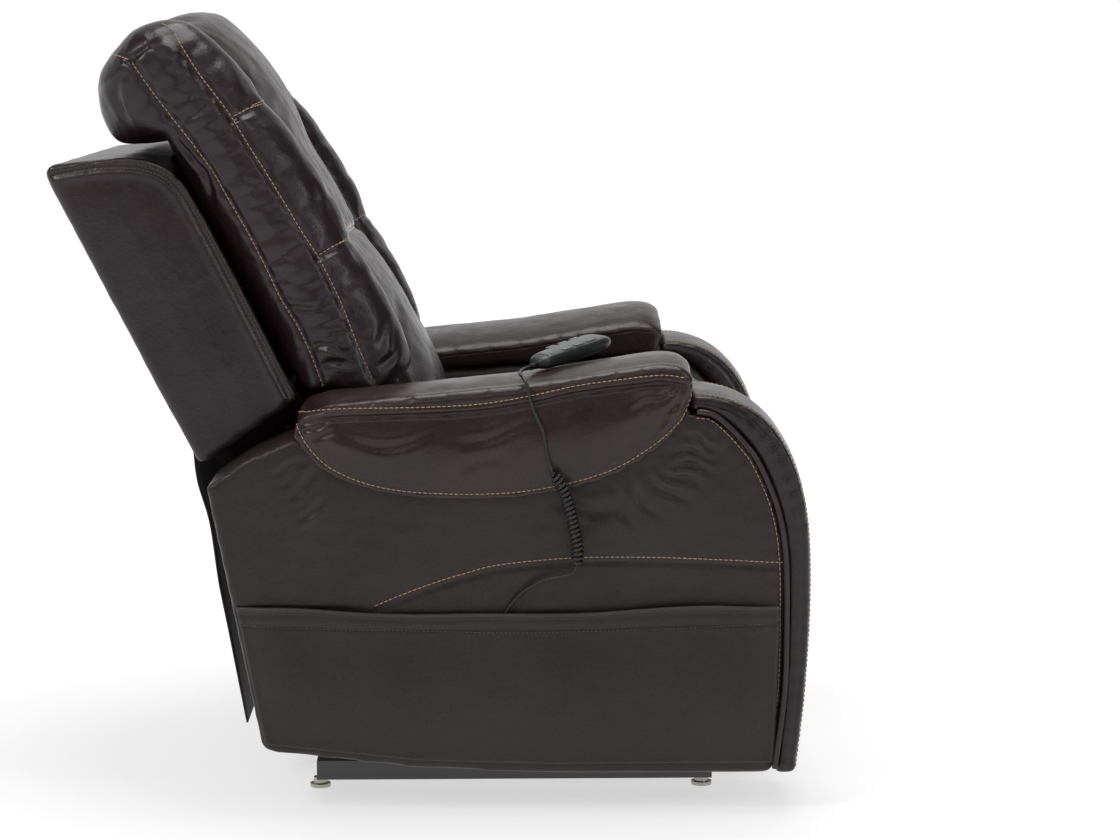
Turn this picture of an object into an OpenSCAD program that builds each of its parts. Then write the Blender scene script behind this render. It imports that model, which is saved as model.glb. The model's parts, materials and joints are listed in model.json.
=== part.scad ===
// Lift recliner chair. Millimetres, +X is the front, +Z is up, the floor is Z = 0.
// The chair is drawn at rest: lowered, footrest folded, back at its most upright.

/* [Overall] */
// Clear width between the arms
seat_w = 520; // [430:2:630]
// Width of one arm
arm_w = 190; // [156:2:240]
// How far the arm fronts reach ahead of the arm's front centre
arm_front_reach = 137; // [115:1:165]
// Height of the outer back above the recline pivot
back_h = 660; // [548:2:796]
// Lean of the back from vertical, in degrees
back_lean = 27; // [24:0.5:32]

/* [Upholstery] */
// How far the arm pad hangs out past the arm
pad_overhang = 22; // [12:1:36]
// Depth of the outer back, front to rear
shell_depth = 170; // [140:1:206]
// Wall of the outer back
shell_wall = 18; // [12:1:30]
// Width of the outer back
shell_w = 696; // [640:2:760]
// Width of the centre back cushions
centre_w = 400; // [332:2:484]
// Width of one side bolster
bolster_w = 137; // [110:1:160]
// Height of the seat cushion
cushion_h = 155; // [120:1:190]
// Thickness of the footrest pad
footpad_t = 66; // [40:1:72]
// Gap that the pocket gives
pocket_gap = 7; // [6:0.5:14]
// Thickness of the pocket panel
pocket_t = 4; // [3:0.5:6]
// Height of the pocket mouth above the floor
pocket_top = 300; // [260:5:340]

/* [Steelwork] */
// Height of the base tubes
tube_h = 28; // [24:1:36]
// Width of the base side tubes
tube_w = 40; // [30:1:50]
// Thickness of the linkage bars
bar_t = 8; // [6:0.1:9.8]
// Thickness of the footrest bars
thin_t = 6; // [4:0.5:7]
// Radius of the pivot pins
pin_r = 6; // [5:0.25:8]
// Radius of the lift torque tube
torque_r = 9; // [8:0.5:10]
// Radius of the actuator rods
rod_r = 8; // [6:0.5:9]
// Length of the footrest's swing and lift bars
foot_bar = 220; // [205:1:228]

/* [Hand control] */
// Length of the hand control
control_l = 150; // [130:1:170]
// Width of the hand control at its front
control_w = 52; // [46:1:60]
// Height of the casing without the fascia
control_h = 16; // [14:1:22]
// Button travel
button_travel = 1.2; // [0.8:0.1:1.6]

/* [Clearances] */
// Radial clearance of a pivot pin
pin_gap = 0.05; // [0.02:0.01:0.09]
// Clearance between soft parts of different bodies
soft_gap = 3; // [1:0.5:6]
// Radial clearance of the lift actuator's open eye
lift_eye_gap = 4.3; // [4.2:0.1:6]
// Radial clearance of the recline actuator's open eye
recline_eye_gap = 2.8; // [2.6:0.1:4]
// Radial clearance of the open pivots of the front links
link_eye_gap = 2.9; // [2.7:0.1:4]
// Radial clearance of the open pivots of the footrest bars
foot_eye_gap = 0.8; // [0.6:0.1:1.5]
// Clearance around a button
button_gap = 0.4; // [0.3:0.05:0.6]

/* [Hidden] */
$fn = 48;

// widths, measured from the middle of the chair
arm_in = seat_w / 2;
arm_out = arm_in + arm_w;
pad_out = arm_out + pad_overhang;
plate_y = arm_in - 32;        // inner face of the side plates and base uprights
bars_y = plate_y + bar_t + 4; // inner face of the lift bars
links_y = plate_y - bar_t - 4; // inner face of the front links and back posts
foot_d = links_y - 6 - thin_t; // footrest board bars
foot_a = foot_d - 2 - thin_t;  // footrest swing bars and board brackets
foot_b = foot_a - 2 - thin_t;  // footrest lift bars
foot_c = foot_b - 2 - thin_t;  // footrest control bars

// pivots, as [x, z] on the chair at rest
lift_pivot = [350, 62];
seat_pivot = [-150, 105];
link_low = [400, 131];
link_high = [14, 260];
lift_motor_pivot = [100, 66];
lift_crank_r = 90;
lift_crank_angle = 125;
back_pivot = [-230, 310];
recline_motor_pivot = [0, 322];
recline_eye = [-63, -49];     // in the back's own frame, from the back pivot
swing_pivot = [260, 290];
swing_angle = -95.6;
foot_lift_angle = 42.4;
control_pivot = [219.5, 334.1];
control_eye = [-33.2, 25.7];  // from the knee
board_bar_low = [-34, 6];     // from the knee
board_bar_high = [-36.3, 5.25]; // from the board pivot
head_pivot = [172, back_h - 60]; // in the back's own frame
head_arc_r = 138;
hinge_y = 150;                // the head hinge brackets, from the middle
waist = back_h - 279;         // seam between the lower and the centre cushion

function polar(r, a) = [r * cos(a), r * sin(a)];
function angle_of(v) = atan2(v[1], v[0]);
function back_point(p) = back_pivot
    + [p[0] * cos(back_lean) - p[1] * sin(back_lean), p[0] * sin(back_lean) + p[1] * cos(back_lean)];

lift_eye = lift_pivot + polar(lift_crank_r, lift_crank_angle);
recline_eye_at = back_point(recline_eye);
knee = swing_pivot + polar(foot_bar, swing_angle);
board_pivot = knee + polar(foot_bar, foot_lift_angle);

// heights of the frame
foot_h = 14;
tube_top = foot_h + tube_h;
rail_low = 262;
rail_top = 330;
frame_top = 385;
seat_low = frame_top + 5;
seat_rear = -66;
seat_front = 462;

// a solid with an outline in X and Z, from y0 to y1
module slab(y0, y1) {
    translate([0, y1, 0]) rotate([90, 0, 0]) linear_extrude(y1 - y0) children();
}
// the same solid on both sides of the chair
module both(y0, y1) {
    slab(y0, y1) children();
    slab(-y1, -y0) children();
}
module at(p) { translate([p[0], p[1]]) children(); }
// a flat bar with round ends and an eye at each end
module bar_2d(p, q, half_w, r1, r2) {
    d = q - p;
    difference() {
        union() {
            at(p) circle(half_w);
            at(q) circle(half_w);
            at(p) rotate(angle_of(d)) translate([0, -half_w * 0.85]) square([norm(d), half_w * 1.7]);
        }
        at(p) circle(r1);
        at(q) circle(r2);
    }
}
// a pin along Y on one point of the side plane
module pin(p, r, y0, y1) { slab(y0, y1) at(p) circle(r); }
module pins_both(p, r, y0, y1) {
    pin(p, r, y0, y1);
    pin(p, r, -y1, -y0);
}
// moves the back's own frame, with X forward and Z up along the back, to its place
module in_back() {
    translate([back_pivot[0], 0, back_pivot[1]]) rotate([0, -back_lean, 0]) children();
}
module mirrored() { mirror([0, 1, 0]) children(); }
module rounded(r) { offset(r, $fn = 24) offset(-r) children(); }

foot_tube_r = 11;              // footrest torque tube
journal_r = 9;                 // its ends, and the swing bars' studs

// ---- base ----
base_rear_x = -170;
base_front_x = 405;
base_y = arm_in + 2;
cross_xs = [base_rear_x + 10, 66, 372];
foot_xs = [base_rear_x + 4, base_front_x - 14];

module base_side_tubes() {
    color("#2b2b2d") for (s = [-1, 1])
        translate([base_rear_x, s > 0 ? base_y : -base_y - tube_w, foot_h])
            difference() {
                cube([base_front_x - base_rear_x, tube_w, tube_h]);
                translate([-1, 2, 2]) cube([base_front_x - base_rear_x + 2, tube_w - 4, tube_h - 4]);
            }
}
module base_cross_tubes() {
    color("#2b2b2d") {
        for (x = cross_xs) translate([x, -base_y, foot_h]) cube([30, 2 * base_y, tube_h]);
        for (y = [-26, 20]) slab(y, y + 6)
            difference() {
                union() {
                    at(lift_motor_pivot) circle(14);
                    translate([cross_xs[1], tube_top])
                        square([lift_motor_pivot[0] + 14 - cross_xs[1], lift_motor_pivot[1] - tube_top]);
                }
                at(lift_motor_pivot) circle(pin_r + pin_gap);
            }
    }
}
module base_feet() {
    color("#b9b6ae") for (x = foot_xs, s = [-1, 1]) translate([x, s * (base_y + tube_w / 2), 0]) {
        cylinder(h = 5, r = 15);
        translate([0, 0, 5]) cylinder(h = foot_h - 5, r = 10);
    }
}
module base_uprights() {
    color("#3a3a3c") {
        both(plate_y, plate_y + bar_t) difference() {
            union() {
                at(lift_pivot) circle(torque_r + 8);
                at(link_low) circle(14);
                polygon([
                    lift_pivot + [-torque_r - 8, 0], lift_pivot + [-torque_r - 8, tube_top - lift_pivot[1]],
                    [link_low[0] + 14, tube_top], link_low + [14, 0], link_low + [-14, 2]
                ]);
            }
            at(lift_pivot) circle(torque_r + pin_gap);
        }
        pins_both(link_low, pin_r, links_y - 2, plate_y);
    }
}
module control_box() {
    color("#1f1f21") difference() {
        translate([-120, -205, tube_top + 2]) cube([150, 84, 46]);
        translate([-121, -176, tube_top + 12]) cube([15, 26, 20]);
    }
}

// ---- lift linkage ----
module lift_bars() {
    color("#3a3a3c") both(bars_y, bars_y + bar_t) difference() {
        union() {
            at(lift_pivot) circle(15);
            at(seat_pivot) circle(15);
            at(lift_pivot) rotate(angle_of(seat_pivot - lift_pivot))
                translate([0, -13]) square([norm(seat_pivot - lift_pivot), 26]);
        }
        at(seat_pivot) circle(pin_r + pin_gap);
    }
}
eye_w = 26;
module lift_torque_tube() {
    color("#3a3a3c") {
        pin(lift_pivot, torque_r, -bars_y, bars_y);
        both(eye_w / 2 + 2, eye_w / 2 + 2 + bar_t) difference() {
            bar_2d(lift_pivot, lift_eye, 14, 1, 1);
            at(lift_pivot) circle(torque_r);
        }
        pin(lift_eye, pin_r, -eye_w / 2 - 2, eye_w / 2 + 2);
    }
}
module front_links() {
    color("#3a3a3c") both(links_y, links_y + bar_t)
        bar_2d(link_low, link_high, 13, pin_r + pin_gap, pin_r + link_eye_gap);
}

// ---- actuators: a tube, a gear motor beside it and a rod, along X from the motor pivot ----
module actuator_tube(length) {
    rotate([0, 90, 0]) difference() {
        union() {
            translate([0, 0, 20]) cylinder(h = length - 20, r = 18);
            translate([-14, -14, -12]) cube([28, 28, 34]);
        }
        translate([0, 0, 26]) cylinder(h = length, r = rod_r + pin_gap);
        rotate([90, 0, 0]) cylinder(h = 60, r = pin_r + pin_gap, center = true);
    }
}
module actuator_gear(side) {
    translate([22, side > 0 ? 18.5 : -64.5, -16]) cube([46, 46, 34]);
    translate([68, side * 41.5, 1]) rotate([0, 90, 0]) cylinder(h = 74, r = 20);
}
module actuator_rod(start, reach, eye_r) {
    difference() {
        union() {
            translate([start, 0, 0]) rotate([0, 90, 0]) cylinder(h = reach - start - eye_r, r = rod_r);
            translate([reach, 0, 0]) rotate([90, 0, 0]) cylinder(h = eye_w, r = eye_r + 6, center = true);
        }
        translate([reach, 0, 0]) rotate([90, 0, 0]) cylinder(h = 40, r = eye_r, center = true);
    }
}
module at_lift_motor() {
    d = lift_eye - lift_motor_pivot;
    translate([lift_motor_pivot[0], 0, lift_motor_pivot[1]]) rotate([0, -angle_of(d), 0]) children();
}
lift_reach = norm(lift_eye - lift_motor_pivot);
lift_tube_l = lift_reach - pin_r - lift_eye_gap - 14;
module lift_motor_tube() { color("#232325") at_lift_motor() actuator_tube(lift_tube_l); }
module lift_gear_motor() { color("#19191b") at_lift_motor() actuator_gear(1); }
module lift_rod() {
    color("#c9c9cb") at_lift_motor() actuator_rod(lift_tube_l - 80, lift_reach, pin_r + lift_eye_gap);
}

recline_y = -90;
recline_reach = norm(recline_eye_at - recline_motor_pivot);
recline_tube_l = recline_reach - 90;
module at_recline_motor() {
    d = recline_eye_at - recline_motor_pivot;
    translate([recline_motor_pivot[0], recline_y, recline_motor_pivot[1]])
        rotate([0, -angle_of(d), 0]) children();
}
module recline_motor_tube() { color("#232325") at_recline_motor() actuator_tube(recline_tube_l); }
module recline_gear_motor() { color("#19191b") at_recline_motor() actuator_gear(1); }
module recline_rod() {
    color("#c9c9cb") at_recline_motor()
        actuator_rod(recline_tube_l - 60, recline_reach, rod_r + recline_eye_gap);
}

// ---- carriage ----
module side_plates() {
    color("#3a3a3c") {
        both(plate_y, plate_y + bar_t) difference() {
            union() {
                translate([back_pivot[0] - 30, rail_low]) square([345 - back_pivot[0] + 30, rail_top - rail_low]);
                at(seat_pivot) circle(15);
                polygon([
                    seat_pivot + [-15, 0], [seat_pivot[0] - 40, rail_low + 1],
                    [seat_pivot[0] + 80, rail_low + 1], seat_pivot + [46, 40], seat_pivot + [15, 0]
                ]);
                at(link_high) circle(15);
            }
            at(control_pivot) circle(journal_r + 1);
        }
        pins_both(seat_pivot, pin_r, plate_y + bar_t, bars_y + bar_t + 2);
        pins_both(link_high, pin_r, links_y - 2, plate_y);
        pins_both(back_pivot, pin_r, links_y - 2, plate_y);
        pins_both(swing_pivot, journal_r, foot_a - 2, plate_y);
        both(foot_d + thin_t + 4, plate_y) difference() {
            union() {
                at(control_pivot) circle(17);
                translate([control_pivot[0] - 17, rail_top - 36]) square([34, 36]);
            }
            at(control_pivot) circle(journal_r + pin_gap);
        }
    }
}
module carriage_cross_tubes() {
    color("#3a3a3c") {
        pin(seat_pivot + [34, 58], 12, -plate_y, plate_y);
        pin(recline_motor_pivot + [44, -12], 12, -plate_y, plate_y);
        for (y = [recline_y - 22, recline_y + 16]) slab(y, y + 6) difference() {
            union() {
                at(recline_motor_pivot) circle(13);
                translate(recline_motor_pivot + [0, -13]) square([44, 24]);
            }
            at(recline_motor_pivot) circle(pin_r + pin_gap);
            at(recline_motor_pivot + [44, -12]) circle(12);
        }
        slab(100, 106) difference() {
            translate(recline_motor_pivot + [44, -24]) square([control_pivot[0] - 20 - recline_motor_pivot[0] - 44, 12]);
            at(recline_motor_pivot + [44, -12]) circle(12);
        }
    }
}
module seat_frame() {
    color("#a98455") {
        both(plate_y + 0.5, arm_in - 4)
            translate([seat_rear, rail_top]) square([seat_front - 12 - seat_rear, frame_top - rail_top]);
        slab(-plate_y - 0.5, plate_y + 0.5) translate([seat_rear, rail_top]) square([24, frame_top - rail_top]);
        slab(-plate_y - 0.5, plate_y + 0.5) translate([seat_front - 36, rail_top + 14])
            square([24, frame_top - rail_top - 14]);
    }
}
spring_n = 6;
spring_r = 2;
module seat_springs() {
    span = seat_front - 36 - (seat_rear + 24);
    pitch = 2 * (plate_y - 40) / (spring_n - 1);
    color("#6c6e70") for (i = [0 : spring_n - 1])
        translate([seat_rear + 24, -plate_y + 40 + i * pitch, frame_top - 6])
            rotate([0, 90, 0]) cylinder(h = span, r = spring_r);
}
apron_t = 10;
apron_low = rail_top + 4;
module seat_cushion() {
    top = seat_low + cushion_h;
    color("#37292a") slab(-arm_in + 7, arm_in - 7) {
        rounded(18) polygon([
            [seat_rear, seat_low], [seat_front, seat_low], [seat_front + 8, seat_low + 70],
            [seat_front - 8, top - 22], [seat_front - 50, top], [seat_front - 200, top - 8],
            [seat_rear, top - 46]
        ]);
        // the apron that hides the front rail
        translate([seat_front - apron_t - 1, apron_low]) square([apron_t, seat_low + 20 - apron_low]);
    }
}

// the arm's front edge: a rounded shoulder of power n above its centre, then a slight taper down
shoulder = [360, 330];
arm_low = 57;
function front_edge(a, b, n, taper, from_a) = concat(
    [for (i = [0 : 14]) let (t = from_a + (90 - from_a) * (1 - i / 14))
        shoulder + [a * pow(max(cos(t), 0), 2 / n), b * pow(sin(t), 2 / n)]],
    [for (i = [1 : 5]) [shoulder[0] + a - taper * pow(i / 5, 2), shoulder[1] - (shoulder[1] - arm_low) * i / 5]]
);
arm_rear_top = [-310, 468];
arm_bevel = [-192, 535];
pad_under = [[-192, 535], [352, 572]];
module arm_box() {
    color("#35292a") slab(-arm_out, -arm_in) polygon(concat(
        [[-236, 93], arm_rear_top, [-254, 508], arm_bevel, pad_under[1]],
        front_edge(arm_front_reach, 242, 2, 15, 0),
        [[180, 58], [-16, 67]]
    ));
}
module arm_front() {
    skin = 37;
    color("#3a2e2d") slab(-arm_out - 2, -arm_in + 4) difference() {
        polygon(concat([[360, 330]], front_edge(arm_front_reach + skin - 3, 266, 2.5, 19, 0), [[360, arm_low]]));
        polygon(concat([[300, 330], [300, 572.3]],
            front_edge(arm_front_reach + 0.3, 242.3, 2, 15, 0), [[300, arm_low]]));
        translate([280, 30]) square([400, arm_low - 30 + 4]);
        polygon([[352, 560], [352, 640], [366, 640], [371, 570]]);
    }
}
pad_top = [[-184, 562], [-170, 580], [-140, 589], [0, 602], [140, 616], [265, 636], [320, 644], [345, 641]];
pad_nose = [[360, 630], [364, 612], [359, 590]];
pad_skirt = [
    [350, 560], [324, 529], [292, 506], [262, 488], [222, 473], [180, 463], [125, 454], [70, 451],
    [10, 452], [-40, 456], [-84, 465], [-123, 479], [-152, 496], [-174, 520], [-186, 545]
];
module arm_pad() {
    color("#392c2c") {
        slab(-arm_out - 0.3, -arm_in + 4) polygon(concat(
            [[-186, arm_bevel[1] + 0.8 + 0.4]], pad_top, pad_nose, [[352, 573]]));
        slab(-pad_out, -arm_out - 0.3) polygon(concat(pad_top, pad_nose, pad_skirt));
    }
}
pocket_low = 104;
module pocket() {
    outline = [
        [-233, pocket_low], [-271, pocket_top], [488, pocket_top], [480, pocket_low - 30],
        [180, pocket_low - 30], [-16, pocket_low - 24]
    ];
    color("#352a2b") difference() {
        slab(-arm_out - pocket_gap - pocket_t, -arm_out) polygon(outline);
        slab(-arm_out - pocket_gap, -arm_out + 1) polygon([
            [-222, pocket_low + 12], [-260, pocket_top + 1], [477, pocket_top + 1],
            [470, pocket_low - 20], [180, pocket_low - 20], [-16, pocket_low - 14]
        ]);
    }
}
module rear_flap() {
    color("#1c1a1b") slab(-290, 290) polygon([
        [-272, 95], [-264, 95], [-309, 300], [-317, 300]
    ]);
}
module footrest_gear_motor() {
    color("#19191b") difference() {
        union() {
            translate([control_pivot[0] - 52, 56, control_pivot[1] - 36]) cube([78, 44, 66]);
            translate([control_pivot[0] - 52, 78, control_pivot[1] - 10])
                rotate([0, -90, 0]) cylinder(h = 70, r = 20);
        }
        pin(control_pivot, foot_tube_r + pin_gap, 0, 200);
    }
}

// ---- back ----
post_top = 430;
module back_posts() {
    color("#3a3a3c") in_back() {
        both(links_y, links_y + bar_t) difference() {
            union() {
                circle(24);
                at(recline_eye) circle(18);
                polygon([[-20, 14], [22, 8], recline_eye + [14, -12], recline_eye + [-15, 10]]);
                polygon([[-22, 10], [22, 0], [60, 150], [60, post_top], [30, post_top], [30, 160]]);
            }
            circle(pin_r + pin_gap);
        }
        slab(-links_y, links_y) at(recline_eye) circle(rod_r);
    }
}
module back_frame() {
    color("#a98455") in_back() {
        both(links_y - 34, links_y - 0.5) translate([30, 238]) square([44, back_h - 56 - 238]);
        for (u = [242, 400, back_h - 110])
            slab(-links_y + 34, links_y - 34) translate([30, u]) square([40, 50]);
    }
}
shell_rear = -10;
shell_front = shell_rear + shell_depth;
module shell_outline() {
    rounded(14) polygon([
        [shell_rear, 203], [shell_front - 4, 232], [shell_front, back_h - 76],
        [shell_front - 20, back_h - 38], [shell_rear + 14, back_h + 12], [shell_rear, back_h - 6]
    ]);
}
module back_shell() {
    color("#33292b") in_back() difference() {
        slab(-shell_w / 2, shell_w / 2) shell_outline();
        slab(-shell_w / 2 + shell_wall, shell_w / 2 - shell_wall) polygon([
            [shell_rear + shell_wall, 203 + shell_wall + 2], [shell_front + 20, 232 + shell_wall],
            [shell_front + 20, back_h - 50 - shell_wall], [shell_rear + shell_wall, back_h - 14 - shell_wall]
        ]);
        for (s = [-1, 1]) translate([0, s > 0 ? links_y - 6 : -links_y - bar_t - 6, 190])
            cube([100, bar_t + 12, 50]);
        for (s = [-1, 1]) translate([shell_front - 42, s * hinge_y - 7, head_pivot[1] - 24])
            cube([80, 14, 80]);
    }
}
cushion_rear = shell_front + 5;
cut_r = head_arc_r + soft_gap;
module below_head() {
    difference() {
        children();
        at(head_pivot) circle(cut_r, $fn = 96);
        translate(head_pivot + [-60, -20]) square([300, 200]);
        translate(head_pivot + [120, -60]) square([100, 200]);
    }
}
module lumbar_cushion() {
    color("#37292a") in_back() slab(-centre_w / 2, centre_w / 2) rounded(8) polygon([
        [cushion_rear, 250], [cushion_rear, waist - 3], [328, waist - 3], [332, waist - 81], [326, 160],
        [312, 76], [236, 108], [184, 14], [146, 34], [cushion_rear - 4, 232]
    ]);
}
module centre_cushion() {
    color("#392b2c") in_back() slab(-centre_w / 2, centre_w / 2) below_head() rounded(8) polygon([
        [cushion_rear, waist], [328, waist], head_pivot + [142, -80], head_pivot + [130, 100],
        [cushion_rear, head_pivot[1] + 100]
    ]);
}
bolster_in = centre_w / 2 + 2;
bolster_out = bolster_in + bolster_w;
module bolster() {
    color("#3b2e2e") in_back() slab(-bolster_out, -bolster_in) below_head() rounded(10) polygon([
        [196, 222], [270, 192], [298, 180], [314, 186], [326, 210], [332, 280], [328, waist + 19],
        head_pivot + [140, -20], head_pivot + [128, 100], [cushion_rear, head_pivot[1] + 100],
        [cushion_rear + 2, head_pivot[1] - 100], [cushion_rear + 14, waist - 21]
    ]);
}
// the head section's hinge: brackets on the wooden frame carry a shaft at the head pivot
hinge_low = head_pivot[1] - 50;
module head_gear_motor() {
    color("#19191b") in_back() {
        translate([74.5, -28, head_pivot[1] - 60]) cube([62, 56, 46]);
        for (s = [-1, 1]) slab(s * hinge_y - 3, s * hinge_y + 3) difference() {
            union() {
                at(head_pivot) circle(13);
                polygon([head_pivot + [-4, -13], [70.5, hinge_low], [70.5, hinge_low + 40], head_pivot + [-4, 12]]);
            }
            at(head_pivot) circle(pin_r + pin_gap);
        }
        translate([70.5, -hinge_y - 3, hinge_low]) cube([4, 2 * hinge_y + 6, 40]);
    }
}
module head_frame() {
    color("#3a3a3c") in_back() {
        slab(-hinge_y - 8, hinge_y + 8) at(head_pivot) circle(pin_r);
        difference() {
            slab(-hinge_y + 10, hinge_y - 10) union() {
                at(head_pivot) circle(12);
                translate([head_pivot[0] - 2, head_pivot[1]]) square([8, 146]);
            }
            slab(-40, 40) at(head_pivot) circle(20);
        }
        slab(-39.5, 39.5) at(head_pivot) circle(pin_r);
    }
}
module head_section(y0, y1) {
    in_back() slab(y0, y1) at(head_pivot) difference() {
        union() {
            intersection() {
                circle(head_arc_r, $fn = 96);
                polygon([[16, 0], [56, -150], [128, -160], [146, -40], [144, 0], [128, 40], [16, 60]]);
            }
            rounded(16) polygon([
                [16, 0], [134, 0], [132, 30], [126, 62], [116, 112], [102, 158], [82, 186], [50, 190],
                [-4, 184], [-54, 164], [-84, 132], [-94, 100], [-88, 76], [-52, 62], [-22, 50], [16, 40]
            ]);
        }
        circle(14);
        translate([-2.5, -20]) square([9, 167]);
    }
}
module head_pillow() { color("#3d2f2f") head_section(-centre_w / 2, centre_w / 2); }
module head_bolster() { color("#3b2e2e") head_section(-bolster_out, -bolster_in); }

// ---- footrest ----
module footrest_torque_tube() {
    color("#3a3a3c") {
        pin(control_pivot, foot_tube_r, -foot_d - thin_t - 2, foot_d + thin_t + 2);
        pins_both(control_pivot, journal_r, foot_d + thin_t + 2, plate_y);
    }
}
module footrest_swing_bars() {
    color("#4a4a4c") {
        both(foot_a, foot_a + thin_t) difference() {
            union() {
                bar_2d(swing_pivot, knee, 13, 1, 1);
                at(swing_pivot) circle(journal_r + 7);
                at(knee + board_bar_low) circle(12);
                polygon([knee + [0, 10], knee + [0, -10], knee + board_bar_low + [0, -11],
                    knee + board_bar_low + [0, 11]]);
            }
            at(swing_pivot) circle(journal_r + pin_gap);
            at(knee) circle(pin_r + pin_gap);
        }
        pins_both(knee + board_bar_low, pin_r, foot_a + thin_t, foot_d + thin_t + 2);
    }
}
module footrest_lift_bars() {
    color("#4a4a4c") {
        both(foot_b, foot_b + thin_t) union() {
            at(knee) circle(13);
            at(board_pivot) circle(13);
            at(knee) rotate(foot_lift_angle) translate([0, -11]) square([foot_bar, 22]);
            at(knee + control_eye) circle(12);
            polygon([knee + [0, 12], knee + [-11, -6], knee + control_eye + [-10, -6], knee + control_eye + [6, 10]]);
        }
        pins_both(knee, pin_r, foot_b + thin_t, foot_a + thin_t + 1);
        pins_both(board_pivot, pin_r, foot_b + thin_t, foot_a + thin_t + 1);
        pins_both(knee + control_eye, pin_r, foot_c - 1, foot_b);
    }
}
module footrest_control_bars() {
    color("#4a4a4c") both(foot_c, foot_c + thin_t) difference() {
        union() {
            bar_2d(control_pivot, knee + control_eye, 11, 1, pin_r + foot_eye_gap);
            at(control_pivot) circle(foot_tube_r + 6);
        }
        at(control_pivot) circle(foot_tube_r);
    }
}
module footrest_board_bars() {
    color("#4a4a4c") both(foot_d, foot_d + thin_t)
        bar_2d(knee + board_bar_low, board_pivot + board_bar_high, 11, pin_r + pin_gap, pin_r + foot_eye_gap);
}
board_x = board_pivot[0] + 18;
board_low = board_pivot[1] - 124;
board_top = board_pivot[1] + 104;
foot_half_w = arm_in - 18;
module footrest_board() {
    color("#a98455") translate([board_x, -foot_half_w + 6, board_low])
        cube([12, 2 * foot_half_w - 12, board_top - board_low]);
    color("#4a4a4c") {
        both(foot_a, foot_a + thin_t) difference() {
            union() {
                at(board_pivot) circle(13);
                at(board_pivot + board_bar_high) circle(11);
                polygon([board_pivot + board_bar_high + [-2, -11], board_pivot + board_bar_high + [-2, 11],
                    [board_x, board_pivot[1] + 34], [board_x, board_pivot[1] - 34]]);
            }
            at(board_pivot) circle(pin_r + pin_gap);
        }
        pins_both(board_pivot + board_bar_high, pin_r, foot_a + thin_t, foot_d + thin_t + 1);
    }
}
module footrest_pad() {
    color("#37292a") slab(-foot_half_w, foot_half_w) rounded(14) polygon([
        [board_x + 12.3, board_low - 6], [board_x + 12.3 + footpad_t - 10, board_low - 4],
        [board_x + 12.3 + footpad_t, board_low + 60], [board_x + 12.3 + footpad_t - 4, board_top - 30],
        [board_x + 12.3 + footpad_t - 24, board_top + 2], [board_x + 12.3, board_top + 3]
    ]);
}

// ---- hand control, drawn along X from its cord end, and its cord ----
control_at = [150, -392, 623];
control_yaw = 50;
control_pitch = 8;
fascia_t = 4;
module in_control() {
    translate(control_at) rotate([0, -control_pitch, control_yaw]) children();
}
module control_plan(inset) {
    offset(-inset) rounded(12) polygon([
        [0, -control_w * 0.34], [control_l * 0.4, -control_w * 0.42], [control_l, -control_w / 2],
        [control_l, control_w / 2], [control_l * 0.4, control_w * 0.42], [0, control_w * 0.34]
    ]);
}
button_l = 17;
button_w = 15;
function button_at(i) = [52 + 26 * floor(i / 2), (i % 2 == 0 ? -1 : 1) * 10.5];
module button_hole(i, clear, z0, z1) {
    p = button_at(i);
    translate([p[0] - button_l / 2 - clear, p[1] - button_w / 2 - clear, z0])
        cube([button_l + 2 * clear, button_w + 2 * clear, z1 - z0]);
}
module control_casing() {
    color("#1d1e20") in_control() difference() {
        linear_extrude(control_h) control_plan(0);
        for (i = [0 : 5]) button_hole(i, button_gap, control_h - 5, control_h + 1);
        translate([-1, 0, control_h / 2]) rotate([0, 90, 0]) cylinder(h = 11, r = 4.5);
    }
}
module control_fascia() {
    color("#3c3e42") in_control() difference() {
        translate([0, 0, control_h]) linear_extrude(fascia_t) control_plan(1.5);
        for (i = [0 : 5]) button_hole(i, button_gap, control_h - 1, control_h + fascia_t + 1);
    }
}
module button(i) {
    color("#6d7075") in_control() button_hole(i, 0, control_h - 5 + button_travel + 0.6, control_h + fascia_t + 1.8);
}
cord_r = 2.4;
coil_r = 9;
module cord_relief() {
    color("#141416") in_control() translate([-14, 0, control_h / 2]) rotate([0, 90, 0]) difference() {
        cylinder(h = 24, r = 4.5);
        translate([0, 0, -1]) cylinder(h = 5, r = cord_r + 0.1, $fn = 24);
    }
}
upper_route = [
    [141, -402.7, 629.5], [134, -411, 628.5], [128, -424, 627], [125, -444, 625], [129, -466, 622],
    [135, -477, 612], [138, -477, 596], [145, -477, 574], [156, -478, 550], [160, -479, 528],
    [164, -481, 508], [170, -483, 492]
];
coil_route = [
    [170, -483, 492], [184, -484, 470], [193, -484, 442], [199, -483, 414], [204, -482, 386], [202, -480, 362]
];
lower_route = [
    [202, -480, 362], [196, -478, 350], [178, -474, 345], [158, -468, 340], [140, -461, 330],
    [124, -455, 317], [112, -453.5, 303], [104, -453.5, 290], [98, -453.5, 276]
];
// a smooth point between route points i and i + 1
function route_point(p, i, t) = let (
    n = len(p) - 1, a = p[max(i - 1, 0)], b = p[i], c = p[min(i + 1, n)], d = p[min(i + 2, n)]
) 0.5 * (2 * b + (c - a) * t + (2 * a - 5 * b + 4 * c - d) * t * t + (3 * b - a - 3 * c + d) * t * t * t);
function route(p, per) = concat(
    [for (i = [0 : len(p) - 2], k = [0 : per - 1]) route_point(p, i, k / per)], [p[len(p) - 1]]
);
function unit(v) = v / norm(v);
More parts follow.
